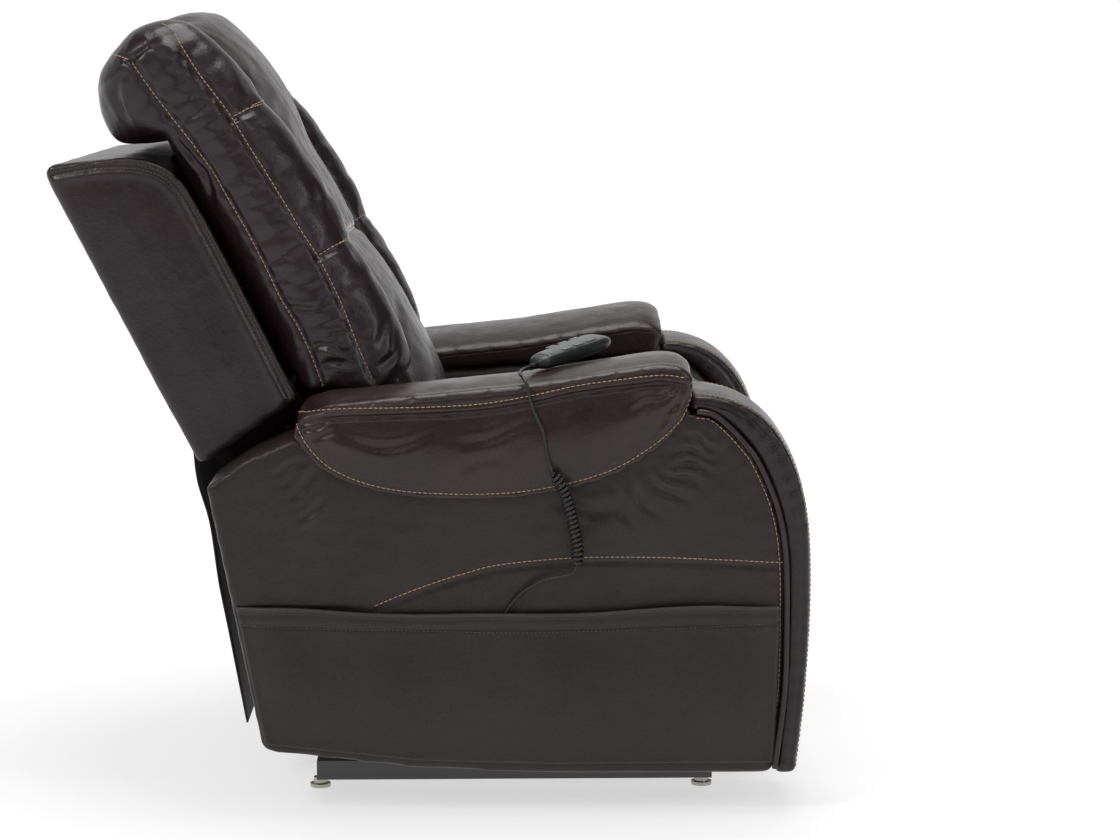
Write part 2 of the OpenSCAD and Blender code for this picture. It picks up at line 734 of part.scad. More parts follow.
// one ring of the swept tube, square to the route
function ring(p, i, r, sides) = let (
    n = len(p) - 1, t = unit(p[min(i + 1, n)] - p[max(i - 1, 0)]), s = unit(cross(t, [1, 0.2, 0.1])), w = cross(t, s)
) [for (k = [0 : sides - 1]) p[i] + r * (cos(360 * k / sides) * s + sin(360 * k / sides) * w)];
module tube(p, r, sides) {
    n = len(p);
    polyhedron(
        points = [for (i = [0 : n - 1]) each ring(p, i, r, sides)],
        faces = concat(
            [[for (k = [0 : sides - 1]) k]],
            [for (i = [0 : n - 2], k = [0 : sides - 1]) let (a = i * sides, j = (k + 1) % sides)
                [a + k, a + sides + k, a + sides + j, a + j]],
            [[for (k = [sides - 1 : -1 : 0]) (n - 1) * sides + k]]
        )
    );
}
module cord_upper() { color("#111113") tube(route(upper_route, 2), cord_r, 8); }
module cord_coil() { color("#111113") tube(route(coil_route, 2), coil_r, 12); }
module cord_lower() { color("#111113") tube(route(lower_route, 2), cord_r, 8); }

base_side_tubes();
base_cross_tubes();
base_feet();
base_uprights();
control_box();
lift_bars();
lift_torque_tube();
front_links();
lift_motor_tube();
lift_gear_motor();
lift_rod();
side_plates();
carriage_cross_tubes();
seat_frame();
seat_springs();
seat_cushion();
arm_box();  // arm_box_right
mirrored() arm_box();  // arm_box_left
pocket();  // pocket_right
mirrored() pocket();  // pocket_left
arm_pad();  // arm_pad_right
mirrored() arm_pad();  // arm_pad_left
arm_front();  // arm_front_right
mirrored() arm_front();  // arm_front_left
rear_flap();
footrest_gear_motor();
recline_motor_tube();
recline_gear_motor();
recline_rod();
back_posts();
back_frame();
back_shell();
lumbar_cushion();
centre_cushion();
bolster();  // bolster_right
mirrored() bolster();  // bolster_left
head_gear_motor();
head_frame();
head_pillow();
head_bolster();  // head_bolster_right
mirrored() head_bolster();  // head_bolster_left
footrest_torque_tube();
footrest_swing_bars();
footrest_control_bars();
footrest_lift_bars();
footrest_board_bars();
footrest_board();
footrest_pad();
control_casing();
control_fascia();
button(0);  // button_1
button(1);  // button_2
button(2);  // button_3
button(3);  // button_4
button(4);  // button_5
button(5);  // button_6
cord_relief();
cord_upper();
cord_coil();
cord_lower();
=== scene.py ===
"""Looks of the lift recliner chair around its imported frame. Metres; +X front, +Y the sitter's left, +Z up."""

import json
import math

import bmesh
import bpy
import numpy as np
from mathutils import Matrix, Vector
from mathutils.bvhtree import BVHTree


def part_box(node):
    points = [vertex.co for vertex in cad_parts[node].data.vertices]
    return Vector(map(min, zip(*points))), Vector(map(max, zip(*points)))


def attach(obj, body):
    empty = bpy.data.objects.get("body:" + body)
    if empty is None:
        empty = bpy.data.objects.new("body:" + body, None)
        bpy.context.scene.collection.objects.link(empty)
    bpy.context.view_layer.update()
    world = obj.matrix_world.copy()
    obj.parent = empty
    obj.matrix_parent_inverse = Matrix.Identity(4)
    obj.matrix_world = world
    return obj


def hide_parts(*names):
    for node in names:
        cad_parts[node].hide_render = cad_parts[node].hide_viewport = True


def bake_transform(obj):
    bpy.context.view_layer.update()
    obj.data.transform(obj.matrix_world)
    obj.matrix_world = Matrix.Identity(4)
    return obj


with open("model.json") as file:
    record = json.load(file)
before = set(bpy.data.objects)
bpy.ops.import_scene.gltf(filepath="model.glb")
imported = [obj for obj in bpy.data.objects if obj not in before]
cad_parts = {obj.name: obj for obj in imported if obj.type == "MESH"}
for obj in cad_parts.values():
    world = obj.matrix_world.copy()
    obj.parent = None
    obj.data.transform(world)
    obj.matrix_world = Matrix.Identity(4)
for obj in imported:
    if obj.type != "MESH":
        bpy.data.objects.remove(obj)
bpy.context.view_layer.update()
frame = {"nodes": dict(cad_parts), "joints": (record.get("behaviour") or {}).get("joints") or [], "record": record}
SCENE = bpy.context.scene
MM = 0.001
RIPPLE_WAVES = 9
CLOTH_PRESSURE = 4.0
CLOTH_FRAMES = 20

# ---------------------------------------------------------------- camera
CAMERA_AT = (0.0927, -4.390, 1.0917)
CAMERA_LOOK = (0.02202, 0.99081, -0.13348)
CAMERA_LENS = 92.57
CAMERA_FILM = 36
VIEW_END = 60
camera = bpy.data.objects.new("camera", bpy.data.cameras.new("camera"))
SCENE.collection.objects.link(camera)
camera.data.sensor_width = CAMERA_FILM
camera.data.lens = CAMERA_LENS
camera.location = CAMERA_AT
camera.rotation_mode = "QUATERNION"
camera.rotation_quaternion = Vector(CAMERA_LOOK).to_track_quat("-Z", "Y")
camera.data.clip_end = VIEW_END
SCENE.camera = camera

# ---------------------------------------------------------------- places, from the frame
JOINT = {j["name"]: j for j in frame["joints"]}
BACK_PIVOT = [JOINT["recline"]["pos_m"][0] / MM, JOINT["recline"]["pos_m"][2] / MM]
BACK_LEAN = math.radians(27)


def edge(node, corner, axis):
    """One coordinate of a CAD node's box in millimetres: corner 0 is the low one, 1 the high one."""
    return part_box(node)[corner][axis] / MM


ARM_OUT, ARM_IN = -edge("arm_box_right", 0, 1), -edge("arm_box_right", 1, 1)
PAD_OUT = -edge("arm_pad_right", 0, 1)
BOLSTER_OUT, BOLSTER_IN = -edge("bolster_right", 0, 1), -edge("bolster_right", 1, 1)
SHELL_Y = edge("back_shell", 1, 1)
CENTRE_Y = edge("centre_cushion", 1, 1)
SEAT_REAR, SEAT_FRONT = edge("seat_cushion", 0, 0), edge("seat_cushion", 1, 0)
SEAT_Y = edge("seat_cushion", 1, 1)
SEAT_TOP, APRON_LOW = edge("seat_cushion", 1, 2), edge("seat_cushion", 0, 2)
SEAT_LOW = SEAT_TOP - 155
FOOT_X, FOOT_Z = [[edge("footrest_pad", corner, axis) for corner in (0, 1)] for axis in (0, 2)]
FOOT_Y = edge("footrest_pad", 1, 1)
POCKET_OUT, POCKET_TOP = -edge("pocket_right", 0, 1), edge("pocket_right", 1, 2)


# ---------------------------------------------------------------- mesh tools
def smooth_line(points, step, closed=False):
    """A Catmull-Rom line through points, sampled about every step."""
    p = np.array(points, float)
    n = len(p)
    spans = n if closed else n - 1
    out = []
    for i in range(spans):
        if closed:
            a, b, c, d = p[(i - 1) % n], p[i], p[(i + 1) % n], p[(i + 2) % n]
        else:
            a, b, c, d = p[max(i - 1, 0)], p[i], p[i + 1], p[min(i + 2, n - 1)]
        count = max(1, int(round(np.linalg.norm(c - b) / step)))
        for k in range(count):
            t = k / count
            square, cube = (2 * a - 5 * b + 4 * c - d) * t**2, (3 * b - a - 3 * c + d) * t**3
            out.append(0.5 * (2 * b + (c - a) * t + square + cube))
    if not closed:
        out.append(p[-1])
    return np.array(out)


def run_of(line):
    """How far along a line each of its points is."""
    return np.concatenate([[0], np.cumsum(np.linalg.norm(np.diff(line, axis=0), axis=1))])


def points_at(line, run, at):
    """The places on a line at those distances along it."""
    return np.stack([np.interp(at, run, line[:, k]) for k in range(line.shape[1])], 1)


def resampled(line, step):
    """Points on a line at an even spacing close to step."""
    line = np.array(line, float)
    run = run_of(line)
    return points_at(line, run, np.linspace(0, run[-1], max(2, int(run[-1] / step))))


def new_object(name, verts, faces):
    mesh = bpy.data.meshes.new(name)
    mesh.from_pydata([tuple(v) for v in verts], [], [tuple(f) for f in faces])
    bm = bmesh.new()
    bm.from_mesh(mesh)
    bmesh.ops.recalc_face_normals(bm, faces=bm.faces)
    bm.to_mesh(mesh)
    bm.free()
    obj = bpy.data.objects.new(name, mesh)
    SCENE.collection.objects.link(obj)
    return obj


def slab(outline, y0, y1):
    """Vertices and faces of an outline in (x, z) drawn from y0 to y1, in millimetres."""
    n = len(outline)
    verts = [(x, y0, z) for x, z in outline] + [(x, y1, z) for x, z in outline]
    faces = [list(range(n)), list(range(2 * n - 1, n - 1, -1))]
    faces += [[i, (i + 1) % n, n + (i + 1) % n, n + i] for i in range(n)]
    return verts, faces


def joined(*parts):
    verts, faces = [], []
    for v, f in parts:
        faces += [[i + len(verts) for i in face] for face in f]
        verts += list(v)
    return verts, faces


def baked(obj):
    """The object's modifiers, made into its mesh."""
    made = bpy.data.meshes.new_from_object(obj.evaluated_get(bpy.context.evaluated_depsgraph_get()))
    obj.modifiers.clear()
    old, obj.data = obj.data, made
    bpy.data.meshes.remove(old)
    return obj


def points_of(obj):
    co = np.zeros(len(obj.data.vertices) * 3, np.float32)
    obj.data.vertices.foreach_get("co", co)
    return co.reshape(-1, 3).astype(float)


def set_points(obj, co):
    obj.data.vertices.foreach_set("co", co.astype(np.float32).ravel())
    obj.data.update()


def normals_of(obj):
    n = np.zeros(len(obj.data.vertices) * 3, np.float32)
    obj.data.vertices.foreach_get("normal", n)
    return n.reshape(-1, 3).astype(float)


def raised(obj, height):
    """Moves each point along its normal by its height."""
    set_points(obj, points_of(obj) + normals_of(obj) * height[:, None])


def relaxed(obj, times):
    """Evens out the mesh, which rounds its corners: each point goes half way to its neighbours' middle."""
    co = points_of(obj)
    e = np.zeros(len(obj.data.edges) * 2, np.int32)
    obj.data.edges.foreach_get("vertices", e)
    a, b = e.reshape(-1, 2).T
    n = len(co)
    count = np.maximum(np.bincount(a, minlength=n) + np.bincount(b, minlength=n), 1)[:, None]
    for _ in range(times):
        total = np.stack([np.bincount(a, co[b, k], n) + np.bincount(b, co[a, k], n) for k in range(3)], 1)
        co += 0.5 * (total / count - co)
    set_points(obj, co)


def evened(obj, voxel, rounding):
    """Rebuilds the mesh with faces of one size, and rounds its corners."""
    m = obj.modifiers.new("even", "REMESH")
    m.mode = "VOXEL"
    m.voxel_size = voxel
    relaxed(baked(obj), rounding)
    return obj


def soft_block(name, parts, voxel=6.0, rounding=8):
    """A soft closed form: the parts' union as an even mesh with rounded corners, in millimetres."""
    return evened(new_object(name, *joined(*parts)), voxel, rounding)


def finer(obj):
    """Splits every face, so that seams and creases have points to show on."""
    m = obj.modifiers.new("fine", "SUBSURF")
    m.levels = m.render_levels = 1
    return baked(obj)


def near_line(co, line):
    """Distance from each point to a line, and how far along the line the nearest place is."""
    line = np.array(line, float)
    best = np.full(len(co), 1e9)
    along = np.zeros(len(co))
    run = 0.0
    for p, q in zip(line[:-1], line[1:]):
        d = q - p
        size = float(np.linalg.norm(d))
        if size < 1e-9:
            continue
        t = np.clip(((co - p) @ d) / size**2, 0, 1)
        away = np.linalg.norm(co - p - t[:, None] * d, axis=1)
        closer = away < best
        best[closer] = away[closer]
        along[closer] = run + t[closer] * size
        run += size
    return best, along


def from_lines(co, lines):
    """Distance from each point to the nearest of some lines."""
    return np.min([near_line(co, line)[0] for line in lines], axis=0)


def rise(value, start, reach):
    """0 up to start, and 1 from a reach past it."""
    return np.clip((value - start) / reach, 0, 1)


def fall(value, end, reach):
    """1 until a reach before end, and 0 from there."""
    return np.clip((end - value) / reach, 0, 1)


def bell(away, width):
    """1 at no distance, and near 0 beyond twice the width."""
    return np.exp(-((away / width) ** 2))


def ripple(co, wave, seed):
    """Smooth noise of about -1 to 1 with about that wavelength, the same each run."""
    rng = np.random.default_rng(seed)
    total = np.zeros(len(co))
    for _ in range(RIPPLE_WAVES):
        d = rng.normal(size=3)
        d /= np.linalg.norm(d)
        total += np.sin(co @ d * 2 * math.pi / (wave * rng.uniform(0.6, 1.5)) + rng.uniform(0, 6.28))
    return total / RIPPLE_WAVES * 1.6


def folds(co, normals, spots, seed):
    """Short creases: each spot is (point, direction, length, width, depth)."""
    out = np.zeros(len(co))
    for k, (p, d, length, width, depth) in enumerate(spots):
        d = np.array(d, float)
        d /= np.linalg.norm(d)
        r = co - np.array(p, float)
        s = r @ d
        bend = 0.12 * length * np.sin(s / length * 3 + seed + k)
        side = np.cross(normals, d)
        side /= np.maximum(np.linalg.norm(side, axis=1), 1e-6)[:, None]
        t = np.einsum("ij,ij->i", r, side) - bend
        off = np.einsum("ij,ij->i", r, normals)
        across = bell(t, width) - 0.55 * bell(np.abs(t) - 1.7 * width, width)
        out -= depth * np.exp(-((s / length) ** 2) * 2.5) * across * bell(off, 40)
    return out


def sewn(obj, seams, seed=1):
    """Presses seams into a soft form. Each seam is (line, depth, width, pucker, pucker wavelength, reach)."""
    co = points_of(obj)
    move = np.zeros(len(co))
    for k, (line, depth, width, pucker, wave, reach) in enumerate(seams):
        away, along = near_line(co, line)
        move -= depth * bell(away, width)
        if pucker:
            phase = along / wave * 2 * math.pi + 2.2 * ripple(co, wave * 5, seed + k)
            strength = np.clip(0.5 + 0.5 * ripple(co, wave * 7, seed + 31 + k), 0, 1)
            move += pucker * strength * np.sin(phase) * np.exp(-away / reach) * (1 - bell(away, width))
    raised(obj, move)


def puffed(obj, seams, height, reach, mask):
    """Swells a form between its seams, as stuffing does, where the mask lets it."""
    co = points_of(obj)
    raised(obj, height * (1 - bell(from_lines(co, seams), reach)) * mask(co))


def inflated(obj, cap, seams, hold=5.0, grow=0.02):
    """Blows the form up as cloth with its seams held, and limits how far a point may move. Millimetres."""
    co = points_of(obj)
    set_points(obj, co * MM)
    pins = obj.vertex_groups.new(name="pins")
    pins.add([int(i) for i in np.nonzero(from_lines(co, seams) < hold)[0]], 1.0, "REPLACE")
    m = obj.modifiers.new("cloth", "CLOTH")
    m.settings.quality = 4
    m.settings.mass = 0.3
    m.settings.tension_stiffness = m.settings.compression_stiffness = 15
    m.settings.bending_stiffness = 1.5
    m.settings.use_pressure = True
    m.settings.uniform_pressure_force = CLOTH_PRESSURE
    m.settings.effector_weights.gravity = 0
    m.settings.vertex_group_mass = "pins"
    m.settings.shrink_min = -grow
    m.collision_settings.use_collision = False
    for f in range(1, CLOTH_FRAMES + 1):
        SCENE.frame_set(f)
    baked(obj)
    obj.vertex_groups.clear()
    SCENE.frame_set(1)
    moved = points_of(obj) / MM - co
    size = np.maximum(np.linalg.norm(moved, axis=1), 1e-9)[:, None]
    set_points(obj, co + moved * np.minimum(1, cap / size))


def back_to_chair(co):
    """From the back's own frame (forward, across, up the back), in millimetres, to the chair's."""
    c, s = math.cos(BACK_LEAN), math.sin(BACK_LEAN)
    co = np.asarray(co, float)
    forward, up = co[:, 0] * c - co[:, 2] * s, co[:, 0] * s + co[:, 2] * c
    return np.stack([BACK_PIVOT[0] + forward, co[:, 1], BACK_PIVOT[1] + up], 1)


def settled(obj, in_back=False):
    """Puts a form made in millimetres in its place in the frame, and smooths its shading."""
    co = points_of(obj)
    set_points(obj, (back_to_chair(co) if in_back else co) * MM)
    obj.data.shade_smooth()
    return obj


def mirrored(obj):
    """The left side's twin of a piece of the right side."""
    made = bpy.data.objects.new(obj.name.replace("right", "left"), obj.data.copy())
    SCENE.collection.objects.link(made)
    made.data.name = made.name
    set_points(made, points_of(made) * (1, -1, 1))
    made.data.flip_normals()
    return made


def two_walls(front, back, columns, rows):
    """Vertices and faces of a thin closed sheet: two grids of that many faces, joined round their rim."""
    n, stride = len(front), columns + 1
    faces = []
    for a in [j * stride + i for j in range(rows) for i in range(columns)]:
        faces.append([a, a + 1, a + stride + 1, a + stride])
        faces.append([n + a, n + a + stride, n + a + stride + 1, n + a + 1])
    rim = list(range(columns)) + [j * stride + columns for j in range(rows)]
    rim += [rows * stride + i for i in range(columns, 0, -1)] + [j * stride for j in range(rows, 0, -1)]
    faces += [[a, n + a, n + b, b] for a, b in zip(rim, rim[1:] + rim[:1])]
    return list(front) + list(back), faces


def swept(lines, normals, radii, sides):
    """Vertices and faces of tubes along lines of equal point count; normals give each tube's up."""
    verts, faces = [], []
    turn = np.arange(sides) * 2 * math.pi / sides
    for line, up in zip(lines, normals):
        base = len(verts)
        tangent = np.gradient(line, axis=0)
        tangent /= np.linalg.norm(tangent, axis=1)[:, None]
        side = np.cross(tangent, up)
        side /= np.maximum(np.linalg.norm(side, axis=1), 1e-9)[:, None]
        rise = np.cross(side, tangent)
        for i, p in enumerate(line):
            ring = p + radii[i] * (np.cos(turn)[:, None] * side[i] + np.sin(turn)[:, None] * rise[i])
            verts += [tuple(v) for v in ring]
        last = len(line) - 1
        for start in [base + i * sides for i in range(last)]:
            for k in range(sides):
                a, b = start + k, start + (k + 1) % sides
                faces.append([a, b, b + sides, a + sides])
        faces += [[base + k for k in range(sides)][::-1], [base + last * sides + k for k in range(sides)]]
    return verts, faces


def cast(tree, points, ray):
    """Where lines through points along ray first meet a surface, coming from far outside."""
    hits, normals = [], []
    ray = Vector(ray).normalized()
    for p in points:
        hit, normal, _, _ = tree.ray_cast(Vector(p) - ray * 1.5, ray)
        hits.append(tuple(hit) if hit is not None else (np.nan,) * 3)
        normals.append(tuple(normal) if normal is not None else (np.nan,) * 3)
    return np.array(hits, float), np.array(normals, float)


THREAD = (0.0072, 0.0061, 0.00068)  # pitch, length of one stitch and radius, in metres
EDGE_THREAD = (0.0055, 0.0038, 0.0006)
HEM_THREAD = (0.006, 0.0042, 0.0006)


def stitches(name, host, rows, thread=THREAD):
    """Thread along rows on a host surface. Each row is (points in metres, ray that finds the surface)."""
    pitch, length, radius = thread
    tree = BVHTree.FromObject(host, bpy.context.evaluated_depsgraph_get())
    bulge = np.array([-0.5, 0.55, 0.75, 0.55, -0.5]) * radius
    radii = np.array([0.35, 0.95, 1.0, 0.95, 0.35]) * radius
    lines, ups = [], []
    for points, ray in rows:
        fine = resampled(points, pitch / 4)
        hits, normals = cast(tree, fine, ray)
        good = ~np.isnan(hits).any(axis=1)
        jump = np.concatenate([[0], np.linalg.norm(np.diff(hits, axis=0), axis=1)])
        good &= ~(jump > pitch * 2)
        if good.sum() < 6:
            continue
        line, normal = hits[good], normals[good]
        run = run_of(line)
        for start in np.arange(0, run[-1] - length, pitch):
            p = points_at(line, run, start + np.linspace(0, length, 5))
            if not 0.6 * length <= np.linalg.norm(p[-1] - p[0]) <= 1.05 * length:
                continue
            up = normal[min(int(np.searchsorted(run, start + length / 2)), len(line) - 1)]
            lines.append(p + up * bulge[:, None])
            ups.append(up)
    obj = new_object(name, *swept(lines, ups, radii, 6))
    obj.data.shade_smooth()
    return obj


def side_row(points, in_back=False):
    """A row on the right side's outer face: (x, z) in millimetres to points in metres, with its ray."""
    co = line_at(points, 4.0, -1)
    return (back_to_chair(co) if in_back else co) * MM, (0, 1, 0)


def beside(line, off):
    """A line in a plane, moved sideways."""
    line = np.array(line, float)
    t = np.gradient(line, axis=0)
    t /= np.linalg.norm(t, axis=1)[:, None]
    return line + off * np.stack([-t[:, 1], t[:, 0]], 1)


def at_y(line, y):
    """A line in (x, z) as points at that y, in millimetres."""
    line = np.array(line, float)
    return np.stack([line[:, 0], np.full(len(line), float(y)), line[:, 1]], 1)


def line_at(points, step, y):
    """A smooth line through points in (x, z), at that y."""
    return at_y(smooth_line(points, step), y)


def across(x, y0, y1, z, count):
    """A straight line across the chair, from y0 to y1."""
    return np.array([(x, y0 + (y1 - y0) * k / count, z) for k in range(count + 1)], float)


# ---------------------------------------------------------------- materials
def material(name):
    m = bpy.data.materials.new(name)
    m.use_nodes = True
    tree = m.node_tree
    tree.nodes.clear()
    out = tree.nodes.new("ShaderNodeOutputMaterial")
    bsdf = tree.nodes.new("ShaderNodeBsdfPrincipled")
    tree.links.new(bsdf.outputs[0], out.inputs[0])
    place = tree.nodes.new("ShaderNodeTexCoord")
    return m, tree, bsdf, place.outputs["Object"]


def set_inputs(tree, node, values):
    """Sets a node's inputs: another node's output is linked, and a number or colour is a plain value."""
    for key, value in values.items():
        if hasattr(value, "node"):
            tree.links.new(value, node.inputs[key])
        else:
            node.inputs[key].default_value = value
    return node


def new_node(tree, kind, values):
    return set_inputs(tree, tree.nodes.new("ShaderNode" + kind), values)


def noise_node(tree, place, scale, detail=3.0, rough=0.5, distort=0.0, stretch=None):
    if stretch is not None:
        place = new_node(tree, "Mapping", {"Scale": stretch, "Vector": place}).outputs[0]
    values = {"Scale": scale, "Detail": detail, "Roughness": rough, "Distortion": distort, "Vector": place}
    return new_node(tree, "TexNoise", values).outputs["Fac"]


def cells_node(tree, place, scale):
    return new_node(tree, "TexVoronoi", {"Scale": scale, "Vector": place}).outputs["Distance"]


def ramp_node(tree, value, stops):
    n = tree.nodes.new("ShaderNodeValToRGB")
    while len(n.color_ramp.elements) < len(stops):
        n.color_ramp.elements.new(0.5)
    for e, (at, colour) in zip(n.color_ramp.elements, stops):
        e.position = at
        e.color = (*colour, 1) if hasattr(colour, "__len__") else (colour, colour, colour, 1)
    tree.links.new(value, n.inputs[0])
    return n.outputs[0]


def mix_node(tree, a, b, share, mode="MIX"):
    n = tree.nodes.new("ShaderNodeMix")
    n.data_type = "RGBA"
    n.blend_type = mode
    colours = [(*value, 1) if isinstance(value, tuple) else value for value in (a, b)]
    return set_inputs(tree, n, {0: share, 6: colours[0], 7: colours[1]}).outputs[2]


def spread_node(tree, value, low, high, from_low=0.25, from_high=0.75):
    values = {"From Min": from_low, "From Max": from_high, "To Min": low, "To Max": high, "Value": value}
    return new_node(tree, "MapRange", values).outputs[0]


def bumps(tree, bsdf, layers):
    """Chains bump layers: (height, strength, distance in metres)."""
    last = None
    for height, strength, distance in layers:
        n = new_node(tree, "Bump", {"Strength": strength, "Distance": distance, "Height": height})
        if last is not None:
            tree.links.new(last, n.inputs["Normal"])
        last = n.outputs[0]
    tree.links.new(last, bsdf.inputs["Normal"])


def rub_wear_and_edge_highlight(tree, colour, wear_and_highlight_colour, low=0.51, high=0.58, share=0.5):
    """Lightens raised edges, where leather and paint rub, and paints a highlight along them."""
    geometry = tree.nodes.new("ShaderNodeNewGeometry")
    wear_and_highlight_share = spread_node(tree, geometry.outputs["Pointiness"], 0.0, share, low, high)
    return mix_node(tree, colour, wear_and_highlight_colour, wear_and_highlight_share)


def leather(name, dark, mid, wear_and_highlight_colour, rough=(0.30, 0.44), grain=1.0, coat=0.12):
    """Corrected-grain leather: cloudy dye, fine flecks, rubbed edges with a painted highlight, pebbles and
    creases.
    """
    m, tree, bsdf, place = material(name)
    cloudy = noise_node(tree, place, 6.5, 5.0, 0.62)
    colour = ramp_node(tree, cloudy, [(0.32, dark), (0.70, mid)])
    fleck = noise_node(tree, place, 240.0, 3.0, 0.7)
    colour = mix_node(tree, colour, (0.0, 0.0, 0.0), spread_node(tree, fleck, 0.0, 0.45, 0.45, 0.75))
    # raised edges are lighter: rub wear and a painted highlight
    colour = rub_wear_and_edge_highlight(tree, colour, wear_and_highlight_colour)
    patches = spread_node(tree, noise_node(tree, place, 30.0, 5.0, 0.65), rough[0], rough[1], 0.3, 0.7)
    gloss = {"Specular IOR Level": 0.36, "Coat Weight": coat, "Coat Roughness": 0.22}
    set_inputs(tree, bsdf, {"Base Color": colour, "Roughness": patches, **gloss})
    pebble, wide = cells_node(tree, place, 420.0), cells_node(tree, place, 170.0)
    crease = noise_node(tree, place, 30.0, 7.0, 0.62, 1.2)
    slack = noise_node(tree, place, 10.0, 2.0, 0.5, 0.6)
    layers = [(slack, 0.22, 0.010), (crease, 0.30, 0.0024), (wide, 0.26, 0.0007), (pebble, 0.34, 0.0004)]
    bumps(tree, bsdf, [(height, strength * grain, distance) for height, strength, distance in layers])
    return m


def plain(name, colour, second, rough, grain, depth=0.0002, metal=0.0, coat=0.0, edge=None, stretch=None):
    """Thread, wood, metal or plastic: two colours in a fine grain that also gives roughness and bump."""
    m, tree, bsdf, place = material(name)
    fine = noise_node(tree, place, grain, 4.0, 0.6, stretch=stretch)
    cloudy = noise_node(tree, place, 9.0, 3.0, 0.5)
    mixed = ramp_node(tree, fine, [(0.3, colour), (0.7, second)])
    made = mix_node(tree, mixed, colour, spread_node(tree, cloudy, 0.0, 0.7))
    # the edge colour lightens raised edges: rub wear and a painted highlight
    if edge:
        made = rub_wear_and_edge_highlight(tree, made, edge, 0.53, 0.62, 0.6)
    gloss = {"Roughness": spread_node(tree, fine, rough[0], rough[1]), "Metallic": metal, "Coat Weight": coat}
    set_inputs(tree, bsdf, {"Base Color": made, **gloss})
    bumps(tree, bsdf, [(fine, 0.35, depth)])
    return m


def woven(name, colour, second, scale):
    """Lining cloth with its threads crossing."""
    m, tree, bsdf, place = material(name)
    heights = []
    for axis in ("X", "Z"):
        w = new_node(tree, "TexWave", {"Scale": scale, "Distortion": 0.6, "Vector": place})
        w.bands_direction = axis
        heights.append(w.outputs["Fac"])
    both = mix_node(tree, heights[0], heights[1], 0.5, "MULTIPLY")
    threads = ramp_node(tree, both, [(0.1, colour), (0.9, second)])
    set_inputs(tree, bsdf, {"Base Color": threads, "Roughness": 0.85, "Sheen Weight": 0.2})
    bumps(tree, bsdf, [(both, 0.4, 0.0004)])
    return m


def grey(level, blue=0.0):
    """A neutral colour, a little bluer where asked."""
    return (level, level + blue, level + blue)


# Each leather's third colour lightens its raised edges: rub wear and a painted highlight.
BODY = leather("leather_body", (0.0085, 0.0038, 0.0048), (0.0180, 0.0085, 0.0105), (0.050, 0.032, 0.031))
SEAT = leather("leather_seat", (0.0100, 0.0058, 0.0062), (0.0205, 0.0112, 0.0112), (0.054, 0.038, 0.033))
ARM = leather("leather_arm", (0.0110, 0.0050, 0.0052), (0.0255, 0.0108, 0.0098), (0.062, 0.038, 0.030))
SIDE = leather(
    "leather_side", (0.0140, 0.0082, 0.0080), (0.0215, 0.0132, 0.0126), (0.050, 0.036, 0.033),
    (0.38, 0.52), 0.8, 0.04,
)
# The pocket's pale edge colour lightens its raised hem at the mouth: rub wear and a painted highlight.
POCKET = leather(
    "leather_pocket", (0.0160, 0.0100, 0.0094), (0.0225, 0.0150, 0.0140), (0.085, 0.078, 0.076),
    (0.40, 0.54), 0.8, 0.03,
)
TAN = plain("thread_tan", (0.34, 0.215, 0.105), (0.52, 0.37, 0.20), (0.55, 0.75), 1400.0, 0.0003)
DARK_THREAD = plain("thread_dark", (0.055, 0.036, 0.032), (0.10, 0.070, 0.060), (0.45, 0.65), 1400.0, 0.0003)
CLOTH = woven("black_cloth", (0.008, 0.008, 0.009), (0.022, 0.021, 0.022), 420.0)
ALONG_BOARDS, ALONG_BARS = (1, 0.08, 1), (1, 1, 0.1)
WOOD = plain("timber", (0.42, 0.26, 0.12), (0.25, 0.14, 0.06), (0.55, 0.75), 55.0, 0.0006, stretch=ALONG_BOARDS)
# Where an edge colour is given below, it lightens raised edges: rub wear and a painted highlight.
PAINTED = plain(
    "painted_steel", (0.014, 0.014, 0.015), (0.026, 0.026, 0.027), (0.34, 0.5), 700.0,
    coat=0.2, edge=grey(0.10),
)
BARS = plain(
    "bar_steel", (0.07, 0.07, 0.075), (0.12, 0.12, 0.125), (0.32, 0.5), 500.0, 0.0001, 0.9,
    edge=grey(0.3), stretch=ALONG_BARS,
)
SPRING = plain("spring_steel", (0.22, 0.22, 0.23), (0.34, 0.34, 0.35), (0.3, 0.45), 600.0, 0.0001, 1.0)
GLIDE = plain("glide_steel", (0.42, 0.40, 0.37), (0.60, 0.58, 0.54), (0.22, 0.4), 500.0, 0.0001, 1.0)
ROD = plain("rod_steel", (0.62, 0.62, 0.64), (0.74, 0.74, 0.76), (0.12, 0.2), 900.0, 0.00005, 1.0)
MOTOR = plain("motor_plastic", (0.010, 0.010, 0.011), (0.020, 0.020, 0.021), (0.5, 0.62), 1100.0, 0.0003)
CASING = plain(
    "control_plastic", grey(0.010, 0.002), grey(0.017, 0.002), (0.36, 0.46), 1500.0, edge=grey(0.03)
)
FASCIA = plain("fascia_plastic", grey(0.030, 0.005), grey(0.150, 0.015), (0.30, 0.42), 520.0)
BUTTON = plain(
    "button_rubber", grey(0.040, 0.005), grey(0.090, 0.010), (0.42, 0.6), 900.0, edge=grey(0.16, 0.01)
)
RUBBER = plain("cord_rubber", (0.006, 0.006, 0.007), (0.014, 0.014, 0.015), (0.34, 0.46), 1300.0)

SLOT_MATERIAL = {
    "body_leather": BODY, "seat_leather": SEAT, "arm_leather": ARM, "pocket_leather": POCKET,
    "black_cloth": CLOTH, "timber": WOOD, "frame_steel": PAINTED, "bar_steel": BARS, "spring_wire": SPRING,
    "foot_steel": GLIDE, "rod_steel": ROD, "motor_plastic": MOTOR, "control_plastic": CASING,
    "fascia_plastic": FASCIA, "button_plastic": BUTTON, "cord_rubber": RUBBER,
}


